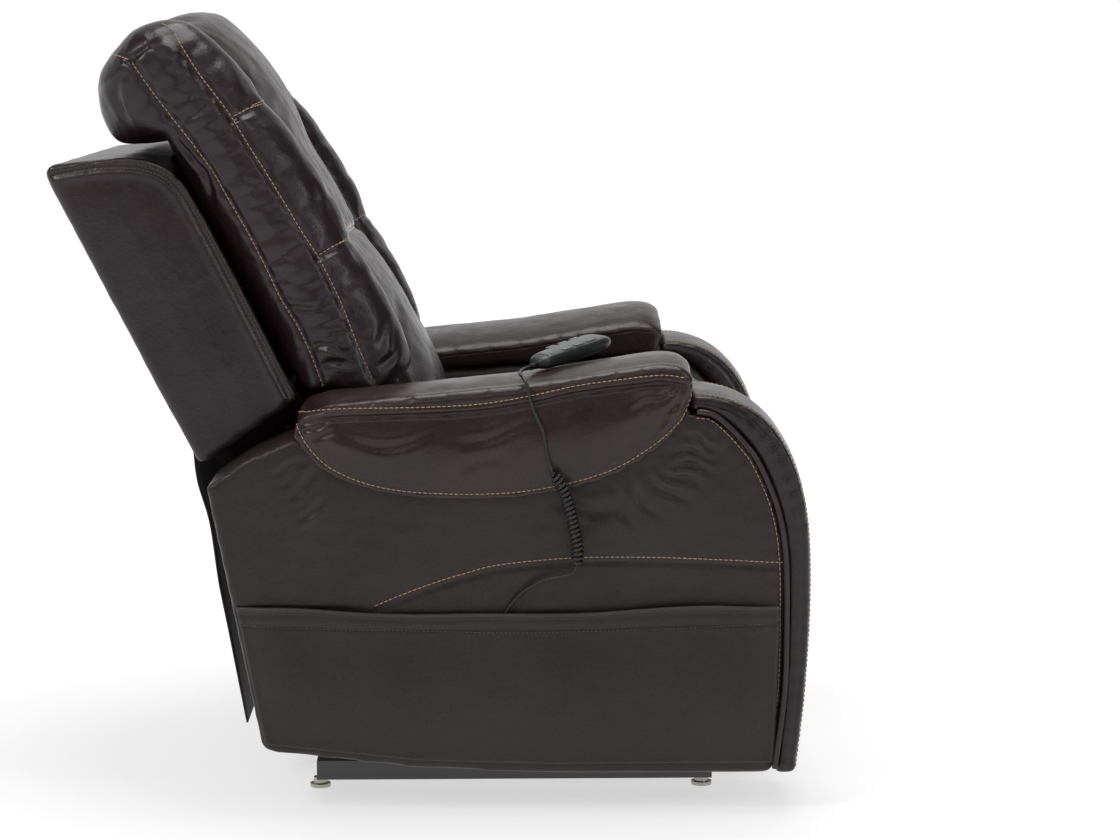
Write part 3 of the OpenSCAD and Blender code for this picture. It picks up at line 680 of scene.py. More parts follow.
def dressed(obj, made_of):
    obj.data.materials.clear()
    obj.data.materials.append(made_of)
    return obj


for part in frame["record"]["subparts"]:
    if part["node"] in frame["nodes"]:
        dressed(frame["nodes"][part["node"]], SLOT_MATERIAL[part["material_slot"]])


def across_hinge(obj):
    """Leather across the hinge where the head section tilts on the back: its place is baked into its mesh."""
    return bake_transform(obj)


def finished(obj, body, made_of, nodes=()):
    """Gives a piece its material and body (None: across the head hinge), and hides the nodes it stands for."""
    dressed(obj, made_of)
    if body is None:
        across_hinge(obj)
    else:
        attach(obj, body)
    if nodes:
        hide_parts(*nodes)
    return obj


def both_sides(right, body, made_of, nodes=()):
    """Finishes a piece of the right side and its twin on the left."""
    left = mirrored(right)
    finished(right, body, made_of, nodes)
    finished(left, body, made_of, [node.replace("right", "left") for node in nodes])


# ---------------------------------------------------------------- the cord
CORD_R = 0.0024
COIL_R = 0.0066
COIL_TURNS = 21
UPPER_ROUTE = [
    (141, -402.7, 629.5), (134, -411, 628.5), (128, -424, 627), (125, -444, 625), (129, -466, 622),
    (135, -477, 612), (138, -477, 596), (145, -477, 574), (156, -478, 550), (160, -479, 528),
    (164, -481, 508), (170, -483, 492),
]
COIL_ROUTE = [
    (170, -483, 492), (184, -484, 470), (193, -484, 442), (199, -483, 414), (204, -482, 386), (202, -480, 362),
]
LOWER_ROUTE = [
    (202, -480, 362), (196, -478, 350), (178, -474, 345), (158, -468, 340), (140, -461, 330),
    (124, -455, 317), (112, -453.5, 303), (104, -453.5, 290), (98, -453.5, 276),
]


def coiled(route, turns, radius, per_turn):
    """A helix round a route, which opens out from the route's ends over one turn."""
    line = resampled(smooth_line(route, 2.0), 0.4) * MM
    run = run_of(line)
    at = np.linspace(0, 1, turns * per_turn + 1)
    centre = points_at(line, run, at * run[-1])
    t = np.gradient(centre, axis=0)
    t /= np.linalg.norm(t, axis=1)[:, None]
    side = np.cross(t, (0, 1, 0))
    side /= np.linalg.norm(side, axis=1)[:, None]
    other = np.cross(t, side)
    opened = np.clip(np.minimum(at, 1 - at) * turns, 0, 1)[:, None] * radius
    turn = (at * turns * 2 * math.pi)[:, None]
    return centre + opened * (np.cos(turn) * side + np.sin(turn) * other)


upper, lower = (resampled(smooth_line(route, 4.0), 8.0) * MM for route in (UPPER_ROUTE, LOWER_ROUTE))
cord_line = np.concatenate([upper[:-1], coiled(COIL_ROUTE, COIL_TURNS, COIL_R, 16), lower[1:]])[::-1]
cord_curve = bpy.data.curves.new("cord", "CURVE")
cord_curve.dimensions = "3D"
spline = cord_curve.splines.new("POLY")
spline.points.add(len(cord_line) - 1)
for point, p in zip(spline.points, cord_line):
    point.co = (*p, 1)
cord_curve.bevel_depth = CORD_R
cord_curve.bevel_resolution = 3
cord_curve.use_fill_caps = True
cord = bpy.data.objects.new("cord", cord_curve)
SCENE.collection.objects.link(cord)
finished(cord, "carriage", RUBBER, ("cord_upper", "cord_coil", "cord_lower"))

# ---------------------------------------------------------------- the back
# Outlines of the back are (forward, up) in the back's own frame.
SHELL_OUTLINE = [
    (-10, 198), (60, 204), (160, 219), (162, 400), (162, 520), (159, 556), (149, 588), (129, 612), (100, 632),
    (50, 652), (6, 668), (-8, 664), (-10, 650),
]
SHELL_WALL = 18
SHELL_FRONT_EDGE = [
    (0, 655), (50, 640), (96, 620), (122, 602), (140, 580), (148, 552), (150, 520), (150, 400), (148, 228),
]
SHELL_SAG = 34


def shell():
    """The upholstered outer back: a deep open box with rounded, topstitched edges."""
    y = SHELL_Y - 3
    obj = new_object("back_cover", *slab(SHELL_OUTLINE, -y, y))
    inside = [(14, 230), (260, 250), (260, 556), (124, 588), (14, 632)]
    hollow = new_object("hollow", *slab(inside, -y + SHELL_WALL, y - SHELL_WALL))
    m = obj.modifiers.new("cut", "BOOLEAN")
    m.operation = "DIFFERENCE"
    m.object = hollow
    baked(obj)
    bpy.data.objects.remove(hollow)
    finer(evened(obj, 6.0, 4))
    co, n = points_of(obj), normals_of(obj)
    # the side panels and the rear swell a little between their edges
    middle = rise(co[:, 0], 0, 60) * fall(co[:, 0], 150, 60)
    up = rise(co[:, 2], 215, 90) * fall(co[:, 2], 640, 90)
    side = (np.abs(co[:, 1]) > y - 8) * middle * up * 4.0
    rear = (n[:, 0] < -0.7) * fall(np.abs(co[:, 1]), y, 110) * up * 7
    co += n * (side + rear + 0.6 * ripple(co, 160, 5) + 0.25 * ripple(co, 50, 6))[:, None]
    # the underside hangs a little between the side panels
    under = fall(co[:, 2], 235, 30) * rise(co[:, 0], 4, 30)
    co[:, 2] -= SHELL_SAG * under * fall(np.abs(co[:, 1]), y - 24, 30)
    set_points(obj, co)
    corners = smooth_line([(-10, 203), (-10, 654)], 20)
    edge_line = smooth_line(SHELL_FRONT_EDGE, 14)
    seams = []
    for s in (-1, 1):
        seams.append((at_y(corners, s * y), 2.0, 6, 0.7, 36, 14))
        seams.append((at_y(beside(edge_line, -9), s * y), -1.6, 5, 0.0, 30, 12))
        seams.append((at_y(edge_line, s * y), 2.4, 4, 0.6, 34, 12))
        seams.append((at_y(beside(edge_line, 9), s * y), -1.0, 5, 0.0, 30, 12))
    for y0 in (-116, 116):
        seams.append((at_y(corners, y0), 2.0, 4, 0.6, 34, 16))
    sewn(obj, seams, 3)
    return settled(obj, True)


back_cover = finished(shell(), "backrest", BODY, ("back_shell",))

REAR = [
    (180, 783), (142, 770), (113, 754), (94, 725), (84, 688), (90, 656), (108, 643), (138, 633), (163, 622),
    (164, 600), (163, 500), (164, 400), (166, 300), (168, 240),
]
BOLSTER_CREST = [
    (318, 185), (329, 232), (331, 291), (329, 348), (329, 391), (329, 442), (326, 492), (321, 524), (318, 561),
    (313, 595), (306, 625), (298, 663), (285, 707), (269, 746), (250, 768), (216, 781),
]
BOLSTER_OUTLINE = [(176, 220), (205, 211), (242, 198), (276, 184), (302, 176)] + BOLSTER_CREST + REAR
CENTRE_CREST = [
    (318, 100), (326, 160), (325, 240), (321, 320), (316, 381), (309, 460), (303, 530), (306, 560), (309, 619),
    (302, 681), (288, 734), (268, 771), (239, 793),
]
CENTRE_OUTLINE = [(150, 44), (184, 20), (236, 100), (300, 78)] + CENTRE_CREST + [(200, 795)] + REAR
REAR_SEAM = [
    (197, 217), (203, 267), (205, 310), (202, 355), (204, 411), (204, 465), (202, 513), (200, 563), (188, 634),
    (177, 697), (171, 747),
]
FRONT_SEAM = [
    (264, 195), (268, 249), (275, 316), (276, 383), (272, 429), (268, 497), (263, 557), (258, 621), (246, 693),
    (241, 757),
]
CORNER_SEAMS = (
    [(140, 772), (156, 761), (171, 747)],
    [(241, 757), (236, 766), (229, 775)],
    [(171, 747), (208, 752), (241, 757)],
)
HEAD_SEAM_U, WAIST_SEAM_U = 610, 383
REAR_PLANE = 165


def over_front(u, y0, y1, v):
    """A line across the front of a cushion at height u, at the forward place v."""
    return across(v, y0, y1, u, 16)


def profile(co, line):
    """How far forward a line in (forward, up) is at each point's height."""
    line = np.array(line, float)
    return np.interp(co[:, 2], line[:, 1], line[:, 0])


def rounded_across(obj, crest, y0, y1, high, front_drop, top_drop):
    """Crowns a slab across its width: its front and top fall away from the high place to both sides."""
    co = points_of(obj)
    s = rise(co[:, 1], y0, y1 - y0)
    away = np.abs(np.where(s < high, (high - s) / high, (s - high) / (1 - high))) ** 2.1
    drop = np.where(s < high, front_drop[0], front_drop[1]) * away
    top = np.where(s < high, top_drop[0], top_drop[1]) * away
    full = profile(co, crest) - REAR_PLANE
    drop *= np.clip(full / 140, 0.2, 1)
    front = co[:, 0] > REAR_PLANE
    co[front, 0] = REAR_PLANE + ((co[:, 0] - REAR_PLANE) * (1 - drop / np.maximum(full, 30)))[front]
    co[:, 2] -= top * rise(co[:, 2], 650, 130)
    set_points(obj, co)


def rolled_behind(obj, seam, y0, depth_high, depth_low, split_u):
    """Turns the surface behind a seam in toward the middle of the chair, deeply round the head."""
    co = points_of(obj)
    high = rise(co[:, 2], split_u, 40)
    t = np.clip((profile(co, seam) - co[:, 0]) / (38 + 50 * high), 0, 1.15)
    near = np.clip(1 - (co[:, 1] - y0) / 110, 0, 1)
    co[:, 1] += near * t**1.7 * (depth_low + (depth_high - depth_low) * high)
    set_points(obj, co)


def wrinkled(co, n, depth, wave, seed):
    """Heights of the wrinkles across the band between the two seams: round tops and sharp valleys."""
    a, b = profile(co, REAR_SEAM), profile(co, FRONT_SEAM)
    t = (co[:, 0] - a) / (b - a)
    inside = np.sqrt(np.clip(4 * t * (1 - t), 0, 1)) * rise(-n[:, 1], 0.25, 0.4)
    slant = 0.9 * ripple(co, 210, seed + 1)
    phase = co[:, 2] / wave * math.pi + 1.9 * ripple(co, 120, seed) + slant * (t - 0.5) * 2.2
    strength = np.clip(0.55 + 0.6 * ripple(co, 85, seed + 2), 0.12, 1)
    return inside * strength * depth * (np.abs(np.sin(phase)) ** 0.75 - 0.6)


def bolster():
    y0, y1 = -BOLSTER_OUT + 7, -BOLSTER_IN - 5
    outline = smooth_line(beside(BOLSTER_OUTLINE, 4), 12, closed=True)
    obj = soft_block("bolster_right_cover", [slab(outline, y0, y1)], 5.5, 5)
    rounded_across(obj, BOLSTER_CREST, y0, y1, 0.52, (50, 34), (26, 10))
    rolled_behind(obj, REAR_SEAM, y0, 62, 26, 620)
    relaxed(obj, 3)
    rear = line_at(REAR_SEAM, 10, y0)
    front = line_at(FRONT_SEAM, 10, y0 + 3)
    inner = line_at([(302, 230), (306, 378), (296, 520), (284, 640), (256, 735), (206, 776)], 12, y1 - 10)
    cross = [
        np.concatenate([[(v0, y0 + 3, u)], over_front(u, y0 + 24, y1, v)])
        for u, v0, v in ((WAIST_SEAM_U, 276, 328), (HEAD_SEAM_U, 260, 312))
    ]
    corners = [line_at(line, 8, y0 + 4) for line in CORNER_SEAMS]
    inflated(obj, 6, [rear, front, inner] + cross, 4.0, 0.01)
    relaxed(obj, 3)
    finer(obj)
    puffed(obj, [rear, front, inner] + cross, 5.0, 30, lambda co: np.clip((co[:, 0] - 150) / 40, 0.3, 1))
    raised(obj, wrinkled(points_of(obj), normals_of(obj), 2.8, 27, 7))
    seams = [(rear, 4.5, 6, 1.8, 30, 22), (front, 4.0, 6, 1.2, 28, 18), (inner, 4.0, 6, 1.2, 34, 22)]
    seams += [(line, 4.0, 5, 1.2, 26, 18) for line in cross]
    seams += [(line - (0, 0, 9), -1.6, 4, 0.0, 26, 18) for line in cross]
    seams += [(line, 3.0, 5, 1.0, 22, 16) for line in corners]
    sewn(obj, seams, 11)
    co, n = points_of(obj), normals_of(obj)
    spots = [
        ((232, y0, 262), (1, 0, -0.7), 30, 5, 3.4),
        ((236, y0, 236), (1, 0, -0.3), 30, 5, 3.0),
        ((230, y0, 330), (1, 0, -0.25), 38, 5, 2.6),
        ((182, y0, 560), (0.3, 0, 1), 60, 7, 4.0),
        ((178, y0, 590), (0.2, 0, 1), 60, 6, 3.6),
        ((120, y0 + 12, 700), (0.4, 0, 1), 50, 8, 3.0),
        ((140, y0 + 6, 720), (1, 0, 0.9), 46, 7, 2.6),
        ((300, y0 + 30, 250), (0.5, 0, 1), 40, 6, 2.4),
        ((296, y0 + 24, 215), (1, 0, 0.6), 34, 6, 3.4),
        ((302, y0 + 30, 470), (0.3, 0, 1), 44, 7, 1.6),
    ]
    raised(obj, folds(co, n, spots, 2) + 0.7 * ripple(co, 60, 7) + 0.35 * ripple(co, 24, 9))
    return settled(obj, True)


def centre():
    y0, y1 = -CENTRE_Y + 4, CENTRE_Y - 4
    outline = smooth_line(beside(CENTRE_OUTLINE, 5), 12, closed=True)
    obj = soft_block("centre_cover", [slab(outline, y0, y1)], 6.5, 6)
    rounded_across(obj, CENTRE_CREST, y0, y1, 0.5, (26, 26), (20, 20))
    relaxed(obj, 3)
    side_line = [(296, 112), (298, 290), (288, 400), (280, 560), (272, 640), (248, 735), (200, 778)]
    edges = [line_at(side_line, 12, y) for y in (y0, y1)]
    cross = over_front(WAIST_SEAM_U, y0, y1, 318)
    inflated(obj, 10, edges + [cross], 5.0, 0.01)
    relaxed(obj, 3)
    finer(obj)
    puffed(obj, edges + [cross], 7.0, 60, lambda co: rise(co[:, 0], 220, 60))
    sewn(obj, [(e, 5.0, 9, 1.8, 42, 30) for e in edges] + [(cross, 7.0, 9, 2.0, 36, 30)], 23)
    co = points_of(obj)
    raised(obj, 1.2 * ripple(co, 90, 17) + 0.5 * ripple(co, 34, 19))
    return settled(obj, True)


bolster_right = bolster()
centre_cover = centre()

cross_rows = (
    [(278, WAIST_SEAM_U + 3), (300, WAIST_SEAM_U + 4), (324, WAIST_SEAM_U + 2)],
    [(262, HEAD_SEAM_U + 3), (285, HEAD_SEAM_U + 3), (307, HEAD_SEAM_U - 1)],
)
rows = [side_row(smooth_line(seam, 8), True) for seam in (REAR_SEAM, FRONT_SEAM)]
rows += [side_row(line, True) for line in cross_rows + CORNER_SEAMS[:2]]


def front_row(u, y0, y1):
    """A row across the front of the back at height u, found from ahead of it."""
    return back_to_chair(across(400, y0, y1, u, 40)) * MM, BACKWARD


def upright_row(points, y):
    """A row up the front of the back at that y, found from ahead of it."""
    line = smooth_line(points, 6)
    line[:, 0] = 420
    return back_to_chair(at_y(line, y)) * MM, BACKWARD


BACKWARD = tuple(-(back_to_chair([(1, 0, 0)]) - back_to_chair([(0, 0, 0)]))[0])
rows += [front_row(u, -BOLSTER_OUT + 34, -BOLSTER_IN - 16) for u in (WAIST_SEAM_U + 4, HEAD_SEAM_U + 4)]
rows.append(upright_row([(0, 210), (0, 380), (0, 560), (0, 730)], -BOLSTER_IN - 15))
bolster_thread = stitches("bolster_right_thread", bolster_right, rows)
centre_row = front_row(WAIST_SEAM_U + 6, -CENTRE_Y + 14, CENTRE_Y - 14)
centre_thread = stitches("centre_thread", centre_cover, [centre_row])
both_sides(bolster_right, None, BODY, ("bolster_right", "head_bolster_right"))
finished(centre_cover, None, SEAT, ("lumbar_cushion", "centre_cushion", "head_pillow"))
both_sides(bolster_thread, None, TAN)
finished(centre_thread, None, TAN)

shell_edge = smooth_line(SHELL_FRONT_EDGE, 8)
shell_rows = [side_row(beside(shell_edge, off), True) for off in (-3, 4)]
shell_thread = stitches("shell_right_thread", back_cover, shell_rows, EDGE_THREAD)
both_sides(shell_thread, "backrest", DARK_THREAD)


# ---------------------------------------------------------------- the arms
PAD_TOP = [(-184, 562), (-170, 580), (-140, 589), (0, 602), (140, 616), (265, 636), (320, 644), (345, 641)]
PAD_NOSE = [(360, 630), (364, 612), (359, 590)]
PAD_SKIRT = [
    (350, 560), (324, 529), (292, 506), (262, 488), (222, 473), (180, 463), (125, 454), (70, 451),
    (10, 452), (-40, 456), (-84, 465), (-123, 479), (-152, 496), (-174, 520), (-186, 545),
]
PAD_SEAM = [
    (-186, 558), (-181, 568), (-168, 574), (-122, 579), (1, 582), (70, 586), (139, 597), (200, 610), (263, 619),
    (320, 625), (356, 620),
]
PAD_RIDGE = [
    (-176, 556), (-160, 564), (-122, 567), (1, 571), (70, 575), (139, 586), (200, 599), (263, 608), (320, 614),
    (352, 610),
]
PAD_LOWER_ROW = [
    (362, 606), (357, 585), (346, 562), (320, 536), (288, 513), (258, 496), (220, 482), (180, 472), (125, 463),
    (70, 460), (10, 461), (-40, 465), (-84, 474), (-120, 488), (-146, 504), (-166, 526), (-177, 545), (-183, 560),
]


def height_of(co, line):
    """How high a line in (x, z) is at each point's x."""
    line = np.array(line, float)
    return np.interp(co[:, 0], line[:, 0], line[:, 1])


def arm_pad():
    top = [(-186, 537)] + PAD_TOP + PAD_NOSE + [(352, 573)]
    out = PAD_OUT - 4
    parts = [slab(top, -ARM_OUT - 6, -ARM_IN + 2), slab(PAD_TOP + PAD_NOSE + PAD_SKIRT, -out, -ARM_OUT - 1)]
    obj = soft_block("arm_pad_right_cover", parts, 5.0, 7)
    finer(obj)
    lower = line_at(PAD_LOWER_ROW, 10, -out)
    seam = line_at(PAD_SEAM, 10, -out + 2)
    ridge = line_at(beside(PAD_SEAM, -6), 10, -out)
    under = line_at(PAD_RIDGE, 10, -out)
    # the skirt bulges between its seams, and the top rolls over toward the seat
    co, n = points_of(obj), normals_of(obj)
    away = from_lines(co, [lower, under])
    skirt = 7.0 * rise(-co[:, 1], ARM_OUT - 4, 16) * (1 - bell(away, 30))
    raised(obj, skirt + 4.0 * rise(n[:, 2], 0.2, 0.5) * (1 - bell(away, 40)))
    # across its width the top is a low crown, which falls to the seam outside and rolls over inside
    co = points_of(obj)
    middle = ARM_OUT - 62
    inside = rise(co[:, 1], -middle, middle - ARM_IN)
    outside = rise(-co[:, 1], middle, out - middle)
    co[:, 2] -= rise(co[:, 2], height_of(co, PAD_TOP) - 34, 26) * (26 * inside**2.2 + 11 * outside**2.0)
    set_points(obj, co)
    relaxed(obj, 2)
    seams = [(seam, 2.0, 4, 0.6, 34, 12), (ridge, -2.2, 5, 0.0, 34, 12)]
    seams += [(under, 3.6, 4, 1.0, 40, 18), (lower, 3.0, 5, 1.4, 30, 18)]
    sewn(obj, seams, 41)
    co, n = points_of(obj), normals_of(obj)
    spots = [
        ((336, -out, 585), (1, 0, 0.9), 26, 4, 2.6),
        ((318, -out, 556), (1, 0, 1.0), 30, 5, 2.2),
        ((330, -out, 600), (1, 0, 0.2), 26, 4, 2.0),
        ((296, -out, 590), (1, 0, 0.5), 40, 7, 1.4),
        ((-150, -out, 540), (1, 0, 0.8), 30, 5, 2.2),
        ((-158, -out, 552), (1, 0, 0.4), 22, 4, 2.2),
        ((-60, -out, 536), (1, 0, 0.02), 90, 7, 1.8),
        ((90, -out, 545), (1, 0, 0.08), 90, 8, 1.4),
        ((60, -out, 500), (1, 0, 0.1), 70, 9, 1.2),
    ]
    raised(obj, folds(co, n, spots, 5) + 0.6 * ripple(co, 70, 43) + 0.3 * ripple(co, 30, 44))
    return settled(obj)


arm_pad_right = arm_pad()
pad_rows = [side_row(smooth_line(line, 6)) for line in (PAD_SEAM, PAD_LOWER_ROW)]
pad_thread = stitches("arm_pad_right_thread", arm_pad_right, pad_rows)
both_sides(arm_pad_right, "carriage", ARM, ("arm_pad_right",))
both_sides(pad_thread, "carriage", TAN)

SHOULDER = (360, 330)
ARM_LOW = 57
ARM_REACH = 137


def front_edge(a, b, power, taper):
    """The arm's front edge, from its top to its foot."""
    (x, z), out = SHOULDER, []
    for i in range(15):
        t = math.radians(90 * (1 - i / 14))
        out.append((x + a * max(math.cos(t), 0) ** (2 / power), z + b * max(math.sin(t), 0) ** (2 / power)))
    return out + [(x + a - taper * (i / 5) ** 2, z - (z - ARM_LOW) * i / 5) for i in range(1, 6)]


PIPING = [
    (369, 572), (392, 568), (415, 550), (438, 525), (457, 498), (483, 435), (495, 364), (497, 251), (494, 165),
    (482, 66),
]
TAN_ARC = [
    (-78, 300), (-40, 316), (0, 331), (48, 346), (97, 358), (194, 367), (291, 368), (400, 364), (494, 359),
]


def arm_box():
    outline = [(-236, 93), (-310, 468), (-254, 508), (-192, 534), (340, 570)]
    outline += front_edge(ARM_REACH - 1, 240, 2, 15) + [(180, 58), (-16, 67)]
    obj = soft_block("arm_right_cover", [slab(outline, -ARM_OUT + 1, -ARM_IN - 1)], 7.0, 4)
    finer(obj)
    co, n = points_of(obj), normals_of(obj)
    out = rise(-n[:, 1], 0.6, 0.3)
    arc = line_at(TAN_ARC, 12, -ARM_OUT)
    above = height_of(co, TAN_ARC) < co[:, 2]
    rim = np.minimum(rise(co[:, 0], -300, 60), fall(co[:, 0], 500, 60))
    grow = out * rim * above * 2.6 * (1 - bell(from_lines(co, [arc]), 40))
    grow += out * rim * (0.9 * ripple(co, 130, 51) + 0.4 * ripple(co, 46, 53))
    spots = [
        ((376, -ARM_OUT, 528), (-1, 0, 0.5), 26, 5, 4.4),
        ((368, -ARM_OUT, 512), (-1, 0, 0.2), 30, 5, 4.2),
        ((360, -ARM_OUT, 494), (-1, 0, 0.1), 34, 6, 4.0),
        ((348, -ARM_OUT, 478), (-1, 0, 0.45), 36, 6, 3.6),
        ((330, -ARM_OUT, 462), (-1, 0, 0.8), 38, 6, 3.0),
        ((296, -ARM_OUT, 448), (-0.8, 0, 1), 36, 6, 3.0),
        ((268, -ARM_OUT, 436), (-0.6, 0, 1), 34, 6, 2.4),
        ((210, -ARM_OUT, 440), (1, 0, 0.1), 60, 9, 2.0),
        ((-164, -ARM_OUT, 436), (1, 0, 0.9), 30, 5, 3.0),
        ((-176, -ARM_OUT, 470), (1, 0, 0.8), 34, 6, 2.6),
        ((-196, -ARM_OUT, 495), (1, 0, 0.3), 30, 5, 2.2),
        ((240, -ARM_OUT, 420), (1, 0, 0.25), 80, 12, 1.4),
    ]
    raised(obj, grow + folds(co, n, spots, 3))
    seams = [(arc, 1.4, 4, 0.5, 40, 14), (line_at(beside(TAN_ARC, -2), 12, -ARM_OUT), -1.6, 4, 0.0, 40, 14)]
    seams.append((line_at(beside(TAN_ARC, -6), 12, -ARM_OUT), 2.6, 3.5, 0.5, 44, 14))
    seams.append((line_at(beside(PIPING, -9), 12, -ARM_OUT), 1.8, 4, 0.9, 26, 18))
    sewn(obj, seams, 57)
    return settled(obj)


def arm_front():
    outline = front_edge(ARM_REACH + 32, 262, 2.5, 19) + front_edge(ARM_REACH + 1, 243, 2, 15)[::-1]
    obj = soft_block("arm_front_right_cover", [slab(outline, -ARM_OUT + 2, -ARM_IN - 1)], 5.0, 5)
    finer(obj)
    co, n = points_of(obj), normals_of(obj)
    mid, half = (ARM_OUT + ARM_IN) / 2, (ARM_OUT - ARM_IN) / 2
    crown = np.clip(1 - ((-co[:, 1] - mid) / half) ** 2, 0, 1)
    raised(obj, 7.0 * crown * rise(n[:, 0] + n[:, 2], 0.3, 0.5) + 0.6 * ripple(co, 80, 61))
    edge_seam = front_edge(ARM_REACH + 24, 257, 2.4, 19)
    sewn(obj, [(at_y(edge_seam, y), 2.6, 3.5, 0.8, 24, 14) for y in (-ARM_OUT, -ARM_IN)], 63)
    return settled(obj)


arm_right = arm_box()
arm_rows = [side_row(smooth_line(TAN_ARC, 6)), side_row(beside(smooth_line(PIPING, 6), -9))]
arm_thread = stitches("arm_right_thread", arm_right, arm_rows)
front_right = arm_front()
front_face = front_edge(ARM_REACH + 60, 300, 2.4, 19)
front_rows = [(line_at(front_face, 6, y) * MM, (-1, 0, -0.35)) for y in (-ARM_OUT + 16, -ARM_IN - 16)]
front_thread = stitches("arm_front_right_thread", front_right, front_rows)
both_sides(arm_right, "carriage", SIDE, ("arm_box_right",))
both_sides(arm_thread, "carriage", TAN)
both_sides(front_right, "carriage", BODY, ("arm_front_right",))
both_sides(front_thread, "carriage", TAN)


def welt(name, line, radius):
    """A piped edge along a line of points in metres."""
    line = resampled(line, 0.006)
    up = np.tile((0.3, 1.0, 0.2), (len(line), 1))
    obj = new_object(name, *swept([line], [up], np.full(len(line), radius), 10))
    obj.data.shade_smooth()
    return obj


piping = welt("arm_right_piping", line_at(PIPING, 6, -ARM_OUT - 1) * MM, 0.0042)
both_sides(piping, "carriage", BODY)


# ---------------------------------------------------------------- the pockets
POCKET_WIDTH, POCKET_HEIGHT = 755, 226
HEM = 25


def pocket():
    """A slack panel sewn on at its rear, foot and front, open at its turned and stitched mouth."""
    columns, rows = 170, 96
    front, back = [], []
    for j in range(rows + 1):
        w = j / rows
        for i in range(columns + 1):
            u = i / columns
            low = np.interp(u, [0, 0.3, 0.56, 1], [104, 80, 74, 74])
            z = low + (POCKET_TOP - low) * w
            x0, x1 = np.interp(z, [104, POCKET_TOP], [-233, -271]), np.interp(z, [74, POCKET_TOP], [481, 488])
            z += (-10 * math.sin(math.pi * min(u * 1.1, 1)) ** 2 + 1.6 * math.sin(u * 17)) * w**4
            from_side, from_foot = min(u, 1 - u) * POCKET_WIDTH, w * POCKET_HEIGHT
            slack = (1 - bell(from_side, 26)) * (1 - bell(from_foot, 40))
            wave = 1.5 * math.sin(u * 9 + 1) + 1.1 * math.sin(u * 23 + 3 * w)
            wave += 0.8 * math.sin(u * 41 + 5 * w + 1)
            bulge = 4.0 * math.sin(math.pi * min(w * 1.15, 1)) ** 1.5 * slack
            y = ARM_OUT + 1.0 + (POCKET_OUT - ARM_OUT - 1.0) * slack + bulge + 0.5 * wave * slack * (0.3 + w)
            down = (1 - w) * (POCKET_TOP - low)
            hem = (1.2 if down < HEM else 0.0) + 2.6 * bell(down - 3, 4.5)
            groove = 1.3 * bell(down - HEM, 3.0) + 1.0 * bell(down - 9, 2.4)
            front.append((x0 * (1 - u) + x1 * u, -(y + hem - groove), z))
            back.append((x0 * (1 - u) + x1 * u, -max(y - 4.0, ARM_OUT + 0.2), z))
    obj = new_object("pocket_right_cover", *two_walls(front, back, columns, rows))
    relaxed(obj, 1)
    return settled(obj)


pocket_right = pocket()
hem_places = ((-262, 1), (-100, 6), (120, 11), (300, 7), (484, 0))
hem_line = smooth_line([(x, POCKET_TOP - HEM - below) for x, below in hem_places], 8)
pocket_thread = stitches("pocket_right_thread", pocket_right, [side_row(hem_line)], HEM_THREAD)
both_sides(pocket_right, "carriage", POCKET, ("pocket_right",))
both_sides(pocket_thread, "carriage", DARK_THREAD)


# ---------------------------------------------------------------- the seat
def seat():
    rear, front, low, top = SEAT_REAR, SEAT_FRONT, SEAT_LOW, SEAT_TOP
    outline = [
        (rear + 4, low + 3), (front - 12, low + 3), (front - 6, low + 60), (front - 16, top - 34),
        (front - 58, top - 8), (front - 200, top - 14), (rear + 4, top - 52),
    ]
    y0, y1 = -SEAT_Y + 5, SEAT_Y - 5
    obj = soft_block("seat_cover", [slab(outline, y0, y1)], 7.0, 10)
    side = [
        (rear, top - 50), (front - 200, top - 14), (front - 58, top - 10), (front - 14, top - 40),
        (front - 8, low + 40), (front - 10, low),
    ]
    edges = [line_at(side, 12, y) for y in (y0, y1)]
    nose = across(front - 12, y0, y1, low + 72, 30)
    inflated(obj, 22, edges + [nose])
    relaxed(obj, 2)
    puffed(obj, edges, 10.0, 80, lambda co: rise(co[:, 2], low + 60, 60))
    sewn(obj, [(e, 4.0, 8, 1.6, 44, 28) for e in edges] + [(nose, 4.0, 8, 1.8, 34, 26)], 71)
    co = points_of(obj)
    raised(obj, 1.0 * ripple(co, 100, 73) + 0.4 * ripple(co, 36, 75))
    return settled(obj)


seat_cover = seat()
nose_row = across(600, -SEAT_Y + 14, SEAT_Y - 14, SEAT_LOW + 79, 40) * MM
seat_thread = stitches("seat_thread", seat_cover, [(nose_row, (-1, 0, 0))])
finished(seat_cover, "carriage", SEAT, ("seat_cushion",))
finished(seat_thread, "carriage", TAN)


def apron():
    """Leather that hangs from the seat cushion's front and hides the timber rail."""
    front = SEAT_FRONT - 8
    outline = [
        (front - 10, APRON_LOW + 3), (front - 2, APRON_LOW + 3), (front - 1, APRON_LOW + 40),
        (front - 2, SEAT_LOW + 16), (front - 10, SEAT_LOW + 16),
    ]
    obj = soft_block("seat_apron_cover", [slab(outline, -SEAT_Y + 3, SEAT_Y - 3)], 4.0, 2)
    raised(obj, 0.5 * ripple(points_of(obj), 70, 77))
    return settled(obj)


finished(apron(), "carriage", SEAT)


